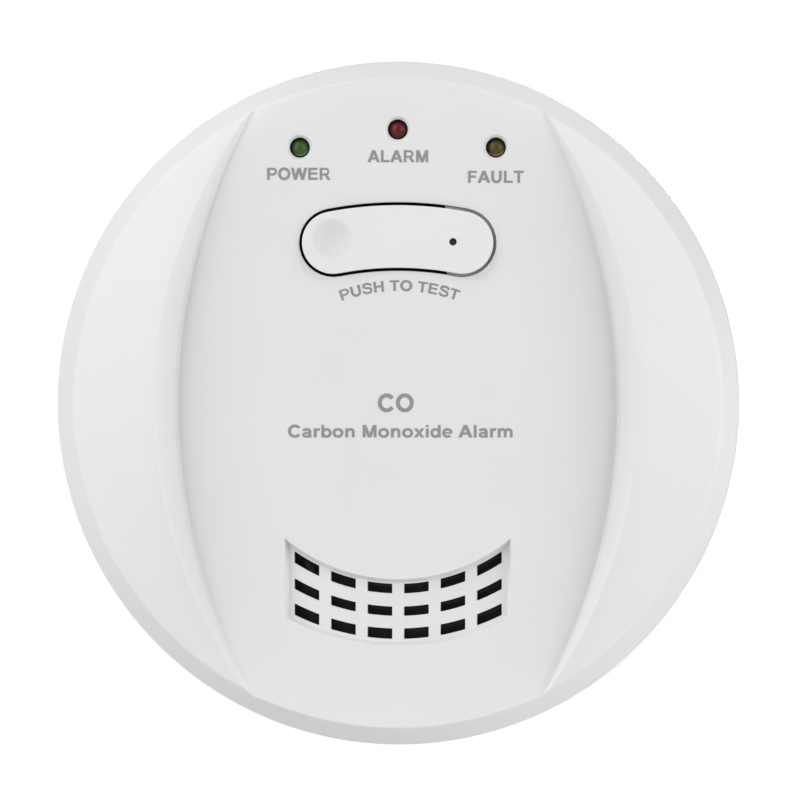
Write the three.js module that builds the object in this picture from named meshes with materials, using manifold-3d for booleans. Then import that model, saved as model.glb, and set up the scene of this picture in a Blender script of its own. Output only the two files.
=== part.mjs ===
// Battery carbon monoxide detector with a bayonet wall bracket.
// Millimetres. Every piece is drawn in a local frame (x right, y up, z out of
// the wall) and the whole is turned once at the end so that the row frame has
// +Z up, the wall in the plane Y = 0 and the front of the detector facing -Y.
import * as THREE from 'three';
import { mergeVertices } from 'three/addons/utils/BufferGeometryUtils.js';
import Module from 'manifold-3d';

const wasm = await Module();
wasm.setup();

// ---------------------------------------------------------------- dimensions
const R_CASE = 53.0;          // outside radius of both covers
const R_RIM = 50.4;           // radius at the top of the chamfer
const Z_PANEL = 33.0;         // front face of the flat centre panel
const Z_CHAMFER = 29.6;       // start of the chamfer on the side wall
const Z_PART = 16.0;          // parting line between the covers
const WALL = 2.2;             // cover wall
const WING_SLOPE = 0.30;      // rise of the side wings per mm towards the middle
const WING_DRAFT = 1.12;      // slope of the wing's inner wall
const LENS_C = 60.7;          // the foot curves are arcs of LENS_R about (-+LENS_C, 0)
const LENS_R = 94.9;

const LED_XY = { power: [-15.22, 39.65], alarm: [0, 42.46], fault: [15.22, 39.65] };
const LED_HOLE_R = 1.85;

const BTN_ARC = 53.0;         // centre-line radius of the curved button
const BTN_TOP = 25.85;        // centre line's height at x = 0
const BTN_R = 4.87;           // half width of the button
const BTN_HALF = 10.0;        // x of the end circles' centres
const BTN_GAP = 0.42;         // gap round the button
const BTN_PIVOT = [11.0, 29.6];   // x, z of the button's hinge
const Z_BTN = 33.5;           // face of the button, slightly proud

const GRILLE = { r0: 27.33, r1: 37.57, x: 17.5, floor: 31.6, back: 29.5 };
const SLOT_ROWS = [[28.30, 29.65], [31.81, 33.13], [35.19, 36.70]];
const SLOT_X = [-14.17, -8.50, -2.83, 2.83, 8.50, 14.17];
const SLOT_W = 3.77;

const PLATE = [3.2, 5.2];     // annular back plate of the rear cover
const PLATEAU_R = 34.5;       // battery plateau that fills the bracket's opening
const WELL = { x: 27.7, y: 15.7, floor: 17.8, top: 19.0 };
const DOOR_PIVOT = [15.1, 1.6];   // y, z of the battery door's hinge

const RING = { r0: 36.0, r1: 47.5, t: 2.2 };
const HOOKS = [62, 152, 242, 332];   // degrees, start of each bayonet hook
const NECK = 6, ARM = 14, TWIST = 8, PLAY = 0.7;   // degrees

const SCREW_SLOTS = [0, 90, 180, 270];
const POST_R = 45.0;          // radius of the four case screws
const POSTS = [45, 135, 225, 315];
const PCB = [20.0, 21.6];
const PCB_POSTS = [[-36, 8], [36, 8], [0, -42.5]];

const CELL = { r: 7.1, len: 49.0, nub: 1.3, y: 7.5, z: 10.3 };

// ------------------------------------------------------------------- helpers
const rad = THREE.MathUtils.degToRad;

function cleaned(geometry) {
  const source = geometry.clone();
  source.deleteAttribute('normal');
  source.deleteAttribute('uv');
  const merged = mergeVertices(source, 1e-4);
  const position = merged.attributes.position.array;
  const index = merged.index.array;
  const triangles = [];
  let volume = 0;
  for (let i = 0; i < index.length; i += 3) {
    const [a, b, c] = [index[i], index[i + 1], index[i + 2]];
    if (a === b || b === c || a === c) continue;
    triangles.push(a, b, c);
    const [p, q, r] = [a, b, c].map((v) => [position[3 * v], position[3 * v + 1], position[3 * v + 2]]);
    volume += p[0] * (q[1] * r[2] - q[2] * r[1]) - p[1] * (q[0] * r[2] - q[2] * r[0]) + p[2] * (q[0] * r[1] - q[1] * r[0]);
  }
  if (volume < 0) for (let i = 0; i < triangles.length; i += 3) [triangles[i], triangles[i + 1]] = [triangles[i + 1], triangles[i]];
  return { position: Float32Array.from(position), triangles: Uint32Array.from(triangles) };
}

function solid(geometry) {
  const { position, triangles } = cleaned(geometry);
  return new wasm.Manifold(new wasm.Mesh({ numProp: 3, vertProperties: position, triVerts: triangles }));
}

function geometryOf(body) {
  const mesh = body.getMesh();
  const position = new Float32Array(mesh.numVert * 3);
  for (let v = 0; v < mesh.numVert; v++)
    for (let k = 0; k < 3; k++) position[3 * v + k] = mesh.vertProperties[v * mesh.numProp + k];
  const geometry = new THREE.BufferGeometry();
  geometry.setAttribute('position', new THREE.BufferAttribute(position, 3));
  geometry.setIndex(new THREE.BufferAttribute(Uint32Array.from(mesh.triVerts), 1));
  return geometry;
}

// A finished mesh from either a geometry or a solid.
function piece(name, shape, colour, roughness, metalness = 0) {
  let geometry;
  if (shape.isBufferGeometry) {
    const { position, triangles } = cleaned(shape);
    geometry = new THREE.BufferGeometry();
    geometry.setAttribute('position', new THREE.BufferAttribute(position, 3));
    geometry.setIndex(new THREE.BufferAttribute(triangles, 1));
  } else geometry = geometryOf(shape);
  geometry.computeVertexNormals();
  const mesh = new THREE.Mesh(geometry, new THREE.MeshStandardMaterial({ color: colour, roughness, metalness }));
  mesh.name = name;
  return mesh;
}

const at = (mesh, x, y, z) => { mesh.position.set(x, y, z); return mesh; };

// A round rod along z.
const rod = (r, z0, z1, x = 0, y = 0, n = 20, rTop = r) => {
  const g = new THREE.CylinderGeometry(rTop, r, z1 - z0, n, 1);
  g.rotateX(Math.PI / 2);
  g.translate(x, y, (z0 + z1) / 2);
  return g;
};
// A round rod along x or y.
const rodX = (r, x0, x1, y, z, n = 12) => {
  const g = new THREE.CylinderGeometry(r, r, x1 - x0, n, 1);
  g.rotateZ(Math.PI / 2);
  g.translate((x0 + x1) / 2, y, z);
  return g;
};
const rodY = (r, y0, y1, x, z, n = 12) => {
  const g = new THREE.CylinderGeometry(r, r, y1 - y0, n, 1);
  g.translate(x, (y0 + y1) / 2, z);
  return g;
};
const block = (x0, x1, y0, y1, z0, z1) => {
  const g = new THREE.BoxGeometry(x1 - x0, y1 - y0, z1 - z0);
  g.translate((x0 + x1) / 2, (y0 + y1) / 2, (z0 + z1) / 2);
  return g;
};
// A turned shape about z from [radius, height] pairs; closed rings repeat their first pair.
const turned = (pairs, n = 24) => {
  const g = new THREE.LatheGeometry(pairs.map(([r, z]) => new THREE.Vector2(r, z)), n);
  g.rotateX(Math.PI / 2);
  return g;
};
const ring = (r0, r1, z0, z1, n = 24) => turned([[r0, z0], [r1, z0], [r1, z1], [r0, z1], [r0, z0]], n);
// A prism of the outline [x, y]... from z0 to z1.
const prism = (outline, z0, z1) => {
  const shape = new THREE.Shape(outline.map(([x, y]) => new THREE.Vector2(x, y)));
  const g = new THREE.ExtrudeGeometry(shape, { depth: z1 - z0, bevelEnabled: false, steps: 1 });
  g.translate(0, 0, z0);
  return g;
};
// A closed loft between two outlines with the same number of points.
const loft = (low, high, z0, z1) => {
  const n = low.length;
  const position = [];
  for (const [x, y] of low) position.push(x, y, z0);
  for (const [x, y] of high) position.push(x, y, z1);
  const index = [];
  for (let i = 0; i < n; i++) {
    const j = (i + 1) % n;
    index.push(i, j, n + j, i, n + j, n + i);
  }
  const faces = THREE.ShapeUtils.triangulateShape(low.map(([x, y]) => new THREE.Vector2(x, y)), []);
  for (const [a, b, c] of faces) index.push(a, c, b);
  for (const [a, b, c] of faces) index.push(n + a, n + b, n + c);
  const g = new THREE.BufferGeometry();
  g.setAttribute('position', new THREE.BufferAttribute(Float32Array.from(position), 3));
  g.setIndex(index);
  return g;
};
// Sector of an annulus, angles in degrees.
const sector = (r0, r1, a0, a1, step = 4) => {
  const n = Math.max(1, Math.round((a1 - a0) / step));
  const points = [];
  for (let i = 0; i <= n; i++) { const a = rad(a0 + (a1 - a0) * i / n); points.push([r1 * Math.cos(a), r1 * Math.sin(a)]); }
  for (let i = n; i >= 0; i--) { const a = rad(a0 + (a1 - a0) * i / n); points.push([r0 * Math.cos(a), r0 * Math.sin(a)]); }
  return points;
};
// Strip below the middle between two radii and two x values, its arcs concentric with the case.
const band = (r0, r1, x0, x1, n) => {
  const points = [];
  for (let i = 0; i <= n; i++) { const x = x0 + (x1 - x0) * i / n; points.push([x, -Math.sqrt(r1 * r1 - x * x)]); }
  for (let i = n; i >= 0; i--) { const x = x0 + (x1 - x0) * i / n; points.push([x, -Math.sqrt(r0 * r0 - x * x)]); }
  return points;
};
// The curved capsule of the button, grown by d.
const capsule = (d, arcSteps = 10, endSteps = 8) => {
  const cy = BTN_TOP - BTN_ARC, r = BTN_R + d, half = Math.asin(BTN_HALF / BTN_ARC);
  const points = [];
  for (let i = 0; i <= arcSteps; i++) {
    const a = Math.PI / 2 - half + 2 * half * i / arcSteps;
    points.push([(BTN_ARC + r) * Math.cos(a), cy + (BTN_ARC + r) * Math.sin(a)]);
  }
  for (const side of [1, -1]) {
    const a0 = Math.PI / 2 + side * half;
    const mx = BTN_ARC * Math.cos(a0), my = cy + BTN_ARC * Math.sin(a0);
    const from = side > 0 ? a0 : a0 + Math.PI;
    for (let i = 1; i < endSteps; i++) {
      const a = from + Math.PI * i / endSteps;
      points.push([mx + r * Math.cos(a), my + r * Math.sin(a)]);
    }
    if (side > 0) for (let j = 0; j <= arcSteps; j++) {
      const b = Math.PI / 2 + half - 2 * half * j / arcSteps;
      points.push([(BTN_ARC - r) * Math.cos(b), cy + (BTN_ARC - r) * Math.sin(b)]);
    }
  }
  return points;
};

const all = (shapes) => shapes.map((s) => (s.isBufferGeometry ? solid(s) : s));
const join = (...shapes) => all(shapes).reduce((a, b) => a.add(b));
const cut = (first, ...tools) => all(tools).reduce((a, b) => a.subtract(b), all([first])[0]);
const common = (a, b) => all([a])[0].intersect(all([b])[0]);

const WHITE = 0xe9e9e6;

// --------------------------------------------------------------- front cover
// Two wide drafted discs meet in a lens: everything inside it is cut down to the panel.
const lens = (grow, z0, z1, n = 144) => {
  const r0 = LENS_R + grow + (z0 - Z_PANEL) / WING_DRAFT, r1 = LENS_R + grow + (z1 - Z_PANEL) / WING_DRAFT;
  return common(rod(r0, z0, z1, -LENS_C, 0, n, r1), rod(r0, z0, z1, LENS_C, 0, n, r1));
};
const wingZ = (r) => Z_PANEL + WING_SLOPE * (R_RIM - r);
const inner = { r: R_CASE - WALL, rim: R_RIM - 1.8, z: Z_PANEL - WALL };

function frontCover() {
  const outside = cut(turned([[0, Z_PART], [R_CASE, Z_PART], [R_CASE, Z_CHAMFER], [R_RIM, Z_PANEL],
    [30, wingZ(30)], [0, wingZ(30)]], 60), lens(0, Z_PANEL, 45));
  const hollow = cut(turned([[0, Z_PART - 1], [inner.r, Z_PART - 1], [inner.r, Z_CHAMFER - 1], [inner.rim, inner.z],
    [30, inner.z + WING_SLOPE * (inner.rim - 30)], [0, inner.z + WING_SLOPE * (inner.rim - 30)]], 40),
  lens(2.0, inner.z, 45, 72));
  let body = cut(outside, hollow);

  // grille pad, drafted recess and slots
  body = join(body, prism(band(GRILLE.r0 - 1.5, GRILLE.r1 + 1.4, -GRILLE.x - 1.5, GRILLE.x + 1.5, 8), GRILLE.back, inner.z + 0.4));
  const draft = 0.45;
  const recess = (d) => band(GRILLE.r0 + d, GRILLE.r1 - d, -GRILLE.x + d * 0.5, GRILLE.x - d * 0.5, 8);
  const above = 0.6, slope = draft / (Z_PANEL - GRILLE.floor);
  body = cut(body, loft(recess(draft), recess(-above * slope), GRILLE.floor, Z_PANEL + above));
  for (const x of SLOT_X) for (const [r0, r1] of SLOT_ROWS)
    body = cut(body, prism(band(r0, r1, x - SLOT_W / 2, x + SLOT_W / 2, 1), GRILLE.back - 1, Z_PANEL));

  // LED holes with countersinks
  for (const [x, y] of Object.values(LED_XY)) {
    body = cut(body, rod(LED_HOLE_R, 28, 36, x, y, 12), rod(LED_HOLE_R - 0.2, Z_PANEL - 0.55, Z_PANEL + 0.3, x, y, 12, LED_HOLE_R + 0.6));
  }

  // button hole, hinge lugs
  const [px, pz] = BTN_PIVOT;
  body = cut(body, prism(capsule(BTN_GAP), 28, 36));
  body = join(body, block(px - 2.5, px + 2.5, 31.4, 33.0, pz - 2.2, inner.z + 0.4), block(px - 2.5, px + 2.5, 16.9, 18.5, pz - 2.2, inner.z + 0.4));
  body = cut(body, rodY(1.25, 16, 34, px, pz, 12));

  // case screw posts and board posts
  for (const a of POSTS) {
    const [x, y] = [POST_R * Math.cos(rad(a)), POST_R * Math.sin(rad(a))];
    body = cut(join(body, rod(3.2, 12.4, 32.9, x, y, 12)), rod(1.75, 12, 24.5, x, y, 8));
  }
  for (const [x, y] of PCB_POSTS) {
    const top = Math.hypot(x, y) > 40 ? 31.6 : 32.7;
    body = cut(join(body, rod(3.0, PCB[1] + 0.3, top, x, y, 12)), rod(1.5, 21, 28, x, y, 8));
  }
  return body;
}

// ---------------------------------------------------------------- rear cover
function rearCover() {
  let body = solid(turned([[0, 0.8], [PLATEAU_R, 0.8], [PLATEAU_R, PLATE[0]], [50.6, PLATE[0]], [50.6, 1.2], [R_CASE, 1.2],
    [R_CASE, Z_PART - 0.3], [50.4, Z_PART - 0.3], [50.4, 18.5], [49.0, 18.5], [49.0, 14.5], [50.6, 12.9],
    [50.6, PLATE[1]], [PLATEAU_R - 2, PLATE[1]], [PLATEAU_R - 2, 2.8], [0, 2.8]], 54));
  body = join(body, block(-WELL.x - 1.2, WELL.x + 1.2, -WELL.y - 1.4, WELL.y + 1.8, 1.0, WELL.top));
  for (const a of POSTS) {
    const [x, y] = [POST_R * Math.cos(rad(a)), POST_R * Math.sin(rad(a))];
    body = join(body, rod(3.8, PLATE[0] + 0.1, 12.0, x, y, 12));
    body = cut(body, rod(2.9, 0, 6.4, x, y, 12), rod(1.75, 6, 13, x, y, 8));
  }
  // battery well, door opening, finger notch, hinge sockets, lead slots
  body = cut(body, block(-WELL.x, WELL.x, -WELL.y, WELL.y, 0, WELL.floor),
    block(-WELL.x, WELL.x, -WELL.y, DOOR_PIVOT[0] + 1.4, 0, 2.8),
    block(-6.4, 6.4, -19.4, -WELL.y + 1, 0, 2.1),
    rodX(1.1, -29.1, 29.1, DOOR_PIVOT[0], DOOR_PIVOT[1], 12));
  for (const y of [CELL.y, -CELL.y]) body = cut(body, block(WELL.x - 1, WELL.x + 3, y - 1.6, y + 1.6, 11.6, 15.6));
  // bayonet slots
  for (const a of HOOKS)
    body = cut(body, prism(sector(38.4, 42.6, a - TWIST - PLAY, a + NECK + PLAY), 2, 7));
  return body;
}

// ------------------------------------------------------------------- bracket
function bracket() {
  let body = solid(ring(RING.r0, RING.r1, 0, RING.t, 54));
  for (const a of SCREW_SLOTS) body = cut(body, prism(sector(39.5, 44.0, a - 7, a + 7, 3.5), -1, 4));
  for (const a of HOOKS) {
    body = join(body, prism(sector(39.0, 42.0, a, a + NECK, 3), 1.2, 6.4), prism(sector(39.0, 42.0, a, a + ARM, 3.5), 5.6, 7.2));
  }
  return body;
}

// --------------------------------------------------------------- test button
function testButton() {
  const [px, pz] = BTN_PIVOT;
  let body = cut(prism(capsule(0), 28.7, Z_BTN), prism(capsule(-1.5, 8, 5), 28, Z_BTN - 2.2));
  // closed skirt flange near the hinge, hinge pins and their bridge, presser
  body = join(body, common(prism(capsule(1.3), 29.6, 30.2), block(7.63, 20, 10, 40, 29, 31)));
  body = join(body, rodY(0.9, 17.1, 32.8, px, pz, 12), block(px - 1.2, px + 1.2, 20.6, 29.3, 28.7, 32), rod(1.3, 27.3, 32, 2.0, 25.6, 12));
  // hollow the flange again inside the skirt
  body = cut(body, common(prism(capsule(-1.5, 8, 5), 29, 30.4), join(block(7.0, px - 1.21, 10, 40, 29, 31), block(px + 1.21, 20, 10, 40, 29, 31))));
  // finger dimple and the small hole
  const dimple = new THREE.SphereGeometry(12.6, 28, 28);
  dimple.rotateX(Math.PI / 2);
  dimple.translate(-10.22, 25.55, Z_BTN - 0.4 + 12.6);
  body = cut(body, common(dimple, block(-15, -5, 20, 31, 32, 34)), rod(0.56, 32.3, 35, 8.6, 25.02, 10));
  return body;
}

// ------------------------------------------------------------- battery parts
const cellProfile = [[0, 0], [6.7, 0], [CELL.r, 0.4], [CELL.r, CELL.len - 0.5], [6.6, CELL.len],
  [2.7, CELL.len], [2.7, CELL.len + CELL.nub], [0, CELL.len + CELL.nub]];

class Helix extends THREE.Curve {
  constructor(r0, r1, turns, height) { super(); Object.assign(this, { r0, r1, turns, height }); }
  getPoint(t, target = new THREE.Vector3()) {
    const a = 2 * Math.PI * this.turns * t, r = this.r0 + (this.r1 - this.r0) * t;
    return target.set(r * Math.cos(a), r * Math.sin(a), this.height * t);
  }
}
const disc = (r, n) => new THREE.Shape(Array.from({ length: n }, (_, i) => new THREE.Vector2(r * Math.cos(2 * Math.PI * i / n), r * Math.sin(2 * Math.PI * i / n))));
const wire = (curve, r, steps, n = 6) => new THREE.ExtrudeGeometry(disc(r, n), { steps, bevelEnabled: false, extrudePath: curve });

function batteryDoor() {
  const [py, pz] = DOOR_PIVOT;
  let body = join(block(-27.3, 27.3, -15.3, py, 0.8, 2.4), rodX(0.8, -27.3, 27.3, py, pz, 16), rodX(0.72, -28.7, 28.7, py, pz, 12));
  body = join(body, block(-6.0, 6.0, -19.0, -14.5, 0.8, 1.7));
  body = cut(body, block(-5.0, -4.2, -19.5, -12.5, 0, 3), block(4.2, 5.0, -19.5, -12.5, 0, 3), block(-18.4, 18.4, -9.4, 9.4, 0, 1.35));
  for (let i = 0; i < 3; i++) body = cut(body, block(-3.2, 3.2, -18.4 + 1.2 * i, -17.9 + 1.2 * i, 0, 1.1));
  return body;
}

// ------------------------------------------------------------------ assembly
const product = new THREE.Group();
product.rotation.x = Math.PI / 2;

product.add(piece('mounting_bracket', bracket(), WHITE, 0.5));

const housing = new THREE.Group();
product.add(housing);
const covers = new THREE.Group();
covers.add(piece('front_cover', frontCover(), WHITE, 0.42));
covers.add(piece('rear_cover', rearCover(), WHITE, 0.5));
housing.add(covers);

const button = new THREE.Group();
button.add(piece('test_button', testButton(), 0xeeeeec, 0.4));
housing.add(button);

const door = new THREE.Group();
door.add(piece('battery_door', batteryDoor(), WHITE, 0.5));
door.add(piece('rating_label', block(-18, 18, -9, 9, 0.82, 1.02), 0xdadada, 0.6));
housing.add(door);

// dust screen behind the grille
housing.add(piece('dust_screen', prism(band(GRILLE.r0 - 1.4, GRILLE.r1 + 1.2, -GRILLE.x - 1.4, GRILLE.x + 1.4, 8), GRILLE.back - 0.9, GRILLE.back - 0.3), 0x1a1a1c, 0.8));

// printed circuit board
let boardBody = solid(rod(46.5, PCB[0], PCB[1], 0, 0, 48));
for (const a of POSTS) boardBody = cut(boardBody, rod(3.7, 19, 23, POST_R * Math.cos(rad(a)), POST_R * Math.sin(rad(a)), 16));
for (const [x, y] of PCB_POSTS) boardBody = cut(boardBody, rod(1.6, 19, 23, x, y, 12));
const board = new THREE.Group();
board.add(piece('main_pcb', boardBody, 0x1f5a35, 0.55));
housing.add(board);

// LEDs on their spacers
const ledProfile = [[0, 26.9], [1.9, 26.9], [1.9, 27.9], [1.5, 27.9], [1.5, 31.75], [1.38, 32.35], [1.06, 32.85], [0.57, 33.15], [0, 33.25]];
const ledColours = { power: 0x3c6e2c, alarm: 0x77202a, fault: 0x6e6a26 };
for (const [name, [x, y]] of Object.entries(LED_XY)) {
  const body = join(turned(ledProfile, 12), block(-1.0, -0.5, -0.25, 0.25, 21.9, 27.2), block(0.5, 1.0, -0.25, 0.25, 21.9, 27.2));
  board.add(at(piece(`led_${name}`, body, ledColours[name], 0.15), x, y, 0));
  board.add(at(piece(`led_spacer_${name}`, ring(1.45, 2.5, PCB[1] + 0.3, 26.6, 12), 0x2a2a2c, 0.6), x, y, 0));
}

// electrochemical sensor
const sensor = new THREE.Group();
sensor.position.set(10, -29.5, 0);
sensor.add(piece('co_sensor_can', turned([[0, 21.9], [7.6, 21.9], [7.6, 22.4], [8.0, 22.8], [8.0, 26.6], [7.4, 27.2], [0, 27.2]], 20), 0xb9bcc0, 0.35, 1));
sensor.add(piece('co_sensor_filter', rod(4.2, 27.5, 27.9, 0, 0, 20), 0xf2f2ee, 0.8));
sensor.add(piece('co_sensor_gasket', ring(5.2, 7.6, 27.5, 28.3, 16), 0x202022, 0.9));
board.add(sensor);

// horn
const horn = new THREE.Group();
horn.position.set(-11, -27.5, 0);
horn.add(piece('horn_housing', turned([[11, 21.9], [11, 28.2], [2.2, 28.2], [2.2, 27.2], [10, 27.2], [10, 24.3], [9.0, 24.3], [9.0, 23.4], [10, 23.4], [10, 21.9], [11, 21.9]], 20), 0x232325, 0.6));
horn.add(piece('horn_diaphragm', rod(9.6, 24.6, 24.85, 0, 0, 28), 0xc9a24a, 0.3, 1));
horn.add(piece('horn_ceramic', rod(6.6, 25.15, 25.4, 0, 0, 24), 0xe6e0cc, 0.5));
board.add(horn);

// tactile switch and its plunger
const tact = new THREE.Group();
tact.position.set(2.0, 25.6, 0);
tact.add(piece('switch_body', cut(block(-3, 3, -3, 3, PCB[1] + 0.3, 25.4), rod(2.0, 22.8, 26, 0, 0, 14)), 0x2b2b2d, 0.5));
const plunger = new THREE.Group();
plunger.add(piece('switch_plunger', rod(1.65, 23.5, 27.0, 0, 0, 14), 0x8d8f92, 0.5));
tact.add(plunger);
board.add(tact);

// other electronics
board.add(piece('microcontroller', block(-33, -26, -8, -1, PCB[1] + 0.3, PCB[1] + 1.4), 0x1c1c1e, 0.5));
board.add(at(piece('capacitor', turned([[0, 21.9], [3.1, 21.9], [3.1, 22.6], [2.9, 22.9], [3.1, 23.2], [3.1, 29.0], [2.8, 29.4], [0, 29.4]], 14), 0x23242a, 0.4), 27, -6, 0));
board.add(at(piece('inductor', turned([[0, 21.9], [3.6, 21.9], [3.6, 22.7], [2.6, 22.9], [2.6, 25.4], [3.6, 25.6], [3.6, 26.4], [0, 26.4]], 14), 0x3a3a3c, 0.5), 36.5, -6, 0));
board.add(piece('crystal', block(-35, -25, 13, 17, PCB[1] + 0.3, 25.2), 0xc4c6c8, 0.3, 1));
board.add(piece('horn_driver', block(-31, -25, -19, -14.5, PCB[1] + 0.3, PCB[1] + 1.7), 0x1c1c1e, 0.5));

// cells, contacts and leads
const bay = new THREE.Group();
housing.add(bay);
const cellGeometry = turned(cellProfile, 20);
const cellA = piece('battery_cell_a', cellGeometry, 0x8c9298, 0.35, 0.6);
cellA.rotation.y = Math.PI / 2;
bay.add(at(cellA, -23.4, CELL.y, CELL.z));
const cellB = piece('battery_cell_b', cellGeometry, 0x8c9298, 0.35, 0.6);
cellB.rotation.y = -Math.PI / 2;
bay.add(at(cellB, 23.4, -CELL.y, CELL.z));
bay.add(piece('contact_link', block(-27.4, -27.0, -13.5, 13.5, 5.0, 15.8), 0xc8cacc, 0.3, 1));
bay.add(piece('contact_positive', join(block(27.0, 27.4, 3.0, 12.0, 5.0, 15.8), block(27.2, 30.2, 6.6, 8.4, 13.0, 13.4)), 0xc8cacc, 0.3, 1));
bay.add(piece('contact_negative', join(block(27.0, 27.4, -12.0, -3.0, 5.0, 15.8), block(27.2, 30.2, -8.4, -6.6, 13.0, 13.4)), 0xc8cacc, 0.3, 1));
const springGeometry = wire(new Helix(4.2, 2.2, 2.5, 2.4), 0.3, 22, 5);
const springA = piece('contact_spring_a', springGeometry, 0xc8cacc, 0.3, 1);
springA.rotation.y = Math.PI / 2;
bay.add(at(springA, -26.4, CELL.y, CELL.z));
const springB = piece('contact_spring_b', springGeometry, 0xc8cacc, 0.3, 1);
springB.rotation.y = -Math.PI / 2;
bay.add(at(springB, 26.4, -CELL.y, CELL.z));
const lead = (y, end) => new THREE.CatmullRomCurve3([[29.7, y, 14.05], [30.0, y, 15.2], [31.0, (y + end) / 2, 16.6], [32.6, end, 17.6], [33.0, end, 18.7], [33.0, end, 19.7]].map((p) => new THREE.Vector3(...p)));
bay.add(piece('battery_lead_red', wire(lead(CELL.y, 4.5), 0.6, 9, 6), 0xa32626, 0.45));
bay.add(piece('battery_lead_black', wire(lead(-CELL.y, -4.5), 0.6, 9, 6), 0x1e1e20, 0.45));

// screws: heads towards the back, shanks towards the front
const screw = (head, r, length) => cut(turned([[0, 0], [head * 0.8, 0], [head, 0.5], [head, 1.7], [r, 1.7], [r, length - 1], [0, length]], 10),
  block(-head * 0.6, head * 0.6, -0.35, 0.35, -1, 0.8), block(-0.35, 0.35, -head * 0.6, head * 0.6, -1, 0.8));
const caseScrew = geometryOf(screw(2.6, 1.4, 18.5));
POSTS.forEach((a, i) => {
  housing.add(at(piece(`case_screw_${i + 1}`, caseScrew, 0xa9acb0, 0.35, 1), POST_R * Math.cos(rad(a)), POST_R * Math.sin(rad(a)), 4.3));
});
const boardScrew = geometryOf(screw(2.4, 1.15, 9));
PCB_POSTS.forEach(([x, y], i) => {
  board.add(at(piece(`board_screw_${i + 1}`, boardScrew, 0xa9acb0, 0.35, 1), x, y, PCB[0] - 2.0));
});

export default product;
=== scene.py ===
# Visual model of a battery carbon monoxide detector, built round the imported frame.
# Local drawing frame: x right, y up, w out of the wall, millimetres.
# Row frame (metres): X = x, Y = -w, Z = y.
import math
import bpy, bmesh
import numpy as np
from mathutils import Vector, Matrix
from mathutils.geometry import delaunay_2d_cdt


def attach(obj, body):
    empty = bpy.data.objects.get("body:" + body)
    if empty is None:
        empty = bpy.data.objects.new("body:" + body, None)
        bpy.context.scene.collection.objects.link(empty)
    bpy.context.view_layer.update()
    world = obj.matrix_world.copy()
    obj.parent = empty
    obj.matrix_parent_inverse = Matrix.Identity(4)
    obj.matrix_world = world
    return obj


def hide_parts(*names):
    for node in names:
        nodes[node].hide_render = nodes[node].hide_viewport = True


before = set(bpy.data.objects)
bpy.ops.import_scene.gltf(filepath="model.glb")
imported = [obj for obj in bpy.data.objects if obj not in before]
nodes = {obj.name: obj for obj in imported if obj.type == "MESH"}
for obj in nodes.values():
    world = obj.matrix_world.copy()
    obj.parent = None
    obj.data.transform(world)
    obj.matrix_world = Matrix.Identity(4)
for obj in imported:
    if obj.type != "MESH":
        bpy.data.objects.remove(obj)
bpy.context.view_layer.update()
rng = np.random.default_rng(7)

# ------------------------------------------------------------------ dimensions
R_CASE, R_RIM = 53.0, 50.4
Z_PANEL, Z_CHAMFER, Z_PART = 33.0, 29.6, 16.0
WING_SLOPE, WING_DRAFT = 0.30, 1.21
LENS_C, LENS_R = 60.7, 95.12
LED_XY = {"power": (-15.22, 39.65), "alarm": (0.0, 42.46), "fault": (15.22, 39.65)}
BTN_ARC, BTN_TOP, BTN_R, BTN_HALF, BTN_GAP = 53.0, 25.85, 4.87, 10.0, 0.42
BTN_PIVOT = (11.0, 29.6)
Z_BTN = 33.5
GR_R0, GR_R1, GR_X, GR_FLOOR, GR_BACK = 27.33, 37.57, 17.5, 31.6, 29.5
SLOT_ROWS = [(28.04, 29.53), (31.57, 33.02), (34.97, 36.60)]
SLOT_X = [-14.17, -8.50, -2.83, 2.83, 8.50, 14.17]
SLOT_W = 3.85
POST_R, POSTS = 45.0, (45, 135, 225, 315)
PCB_POSTS = [(-36.0, 8.0), (36.0, 8.0), (0.0, -42.5)]

# ------------------------------------------------------------------ mesh tools
class Skin:
    """Collects vertices, faces and one normal per face corner, in the local frame."""
    def __init__(self):
        self.v, self.f, self.n, self.m = [], [], [], []

    def add(self, points):
        start = len(self.v)
        self.v.extend([tuple(float(c) for c in p) for p in points])
        return list(range(start, len(self.v)))

    def face(self, idx, normals=None, mat=0):
        self.f.append(tuple(idx))
        self.n.append(normals)
        self.m.append(mat)

    def strip(self, a, b, na=None, nb=None, mat=0, closed=True):
        """Quads between two rings of equal length; a is the left side walking forward, seen from outside."""
        n = len(a)
        for i in range(n if closed else n - 1):
            j = (i + 1) % n
            nn = None if na is None else (na[i], na[j], nb[j], nb[i])
            self.face((a[i], a[j], b[j], b[i]), nn, mat)

    def build(self, name, smooth_angle=None):
        me = bpy.data.meshes.new(name)
        v = [(x * 1e-3, -w * 1e-3, y * 1e-3) for x, y, w in self.v]
        me.from_pydata(v, [], self.f)
        me.polygons.foreach_set("use_smooth", [True] * len(self.f))
        if any(self.m):
            me.polygons.foreach_set("material_index", self.m)
        me.update()
        if smooth_angle is not None:
            me.set_sharp_from_angle(angle=math.radians(smooth_angle))
        elif any(n is not None for n in self.n):
            flat = []
            for face, nn in zip(self.f, self.n):
                if nn is None:
                    p = [Vector(self.v[i]) for i in face]
                    c = Vector((0, 0, 0))
                    for k in range(len(p)):
                        c += p[k].cross(p[(k + 1) % len(p)])
                    c = c.normalized() if c.length > 0 else Vector((0, 0, 1))
                    flat.extend([(c.x, -c.z, c.y)] * len(face))
                else:
                    for q in nn:
                        l = math.sqrt(q[0] ** 2 + q[1] ** 2 + q[2] ** 2) or 1.0
                        flat.append((q[0] / l, -q[2] / l, q[1] / l))
            me.normals_split_custom_set(flat)
        ob = bpy.data.objects.new(name, me)
        bpy.context.scene.collection.objects.link(ob)
        return ob


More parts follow.
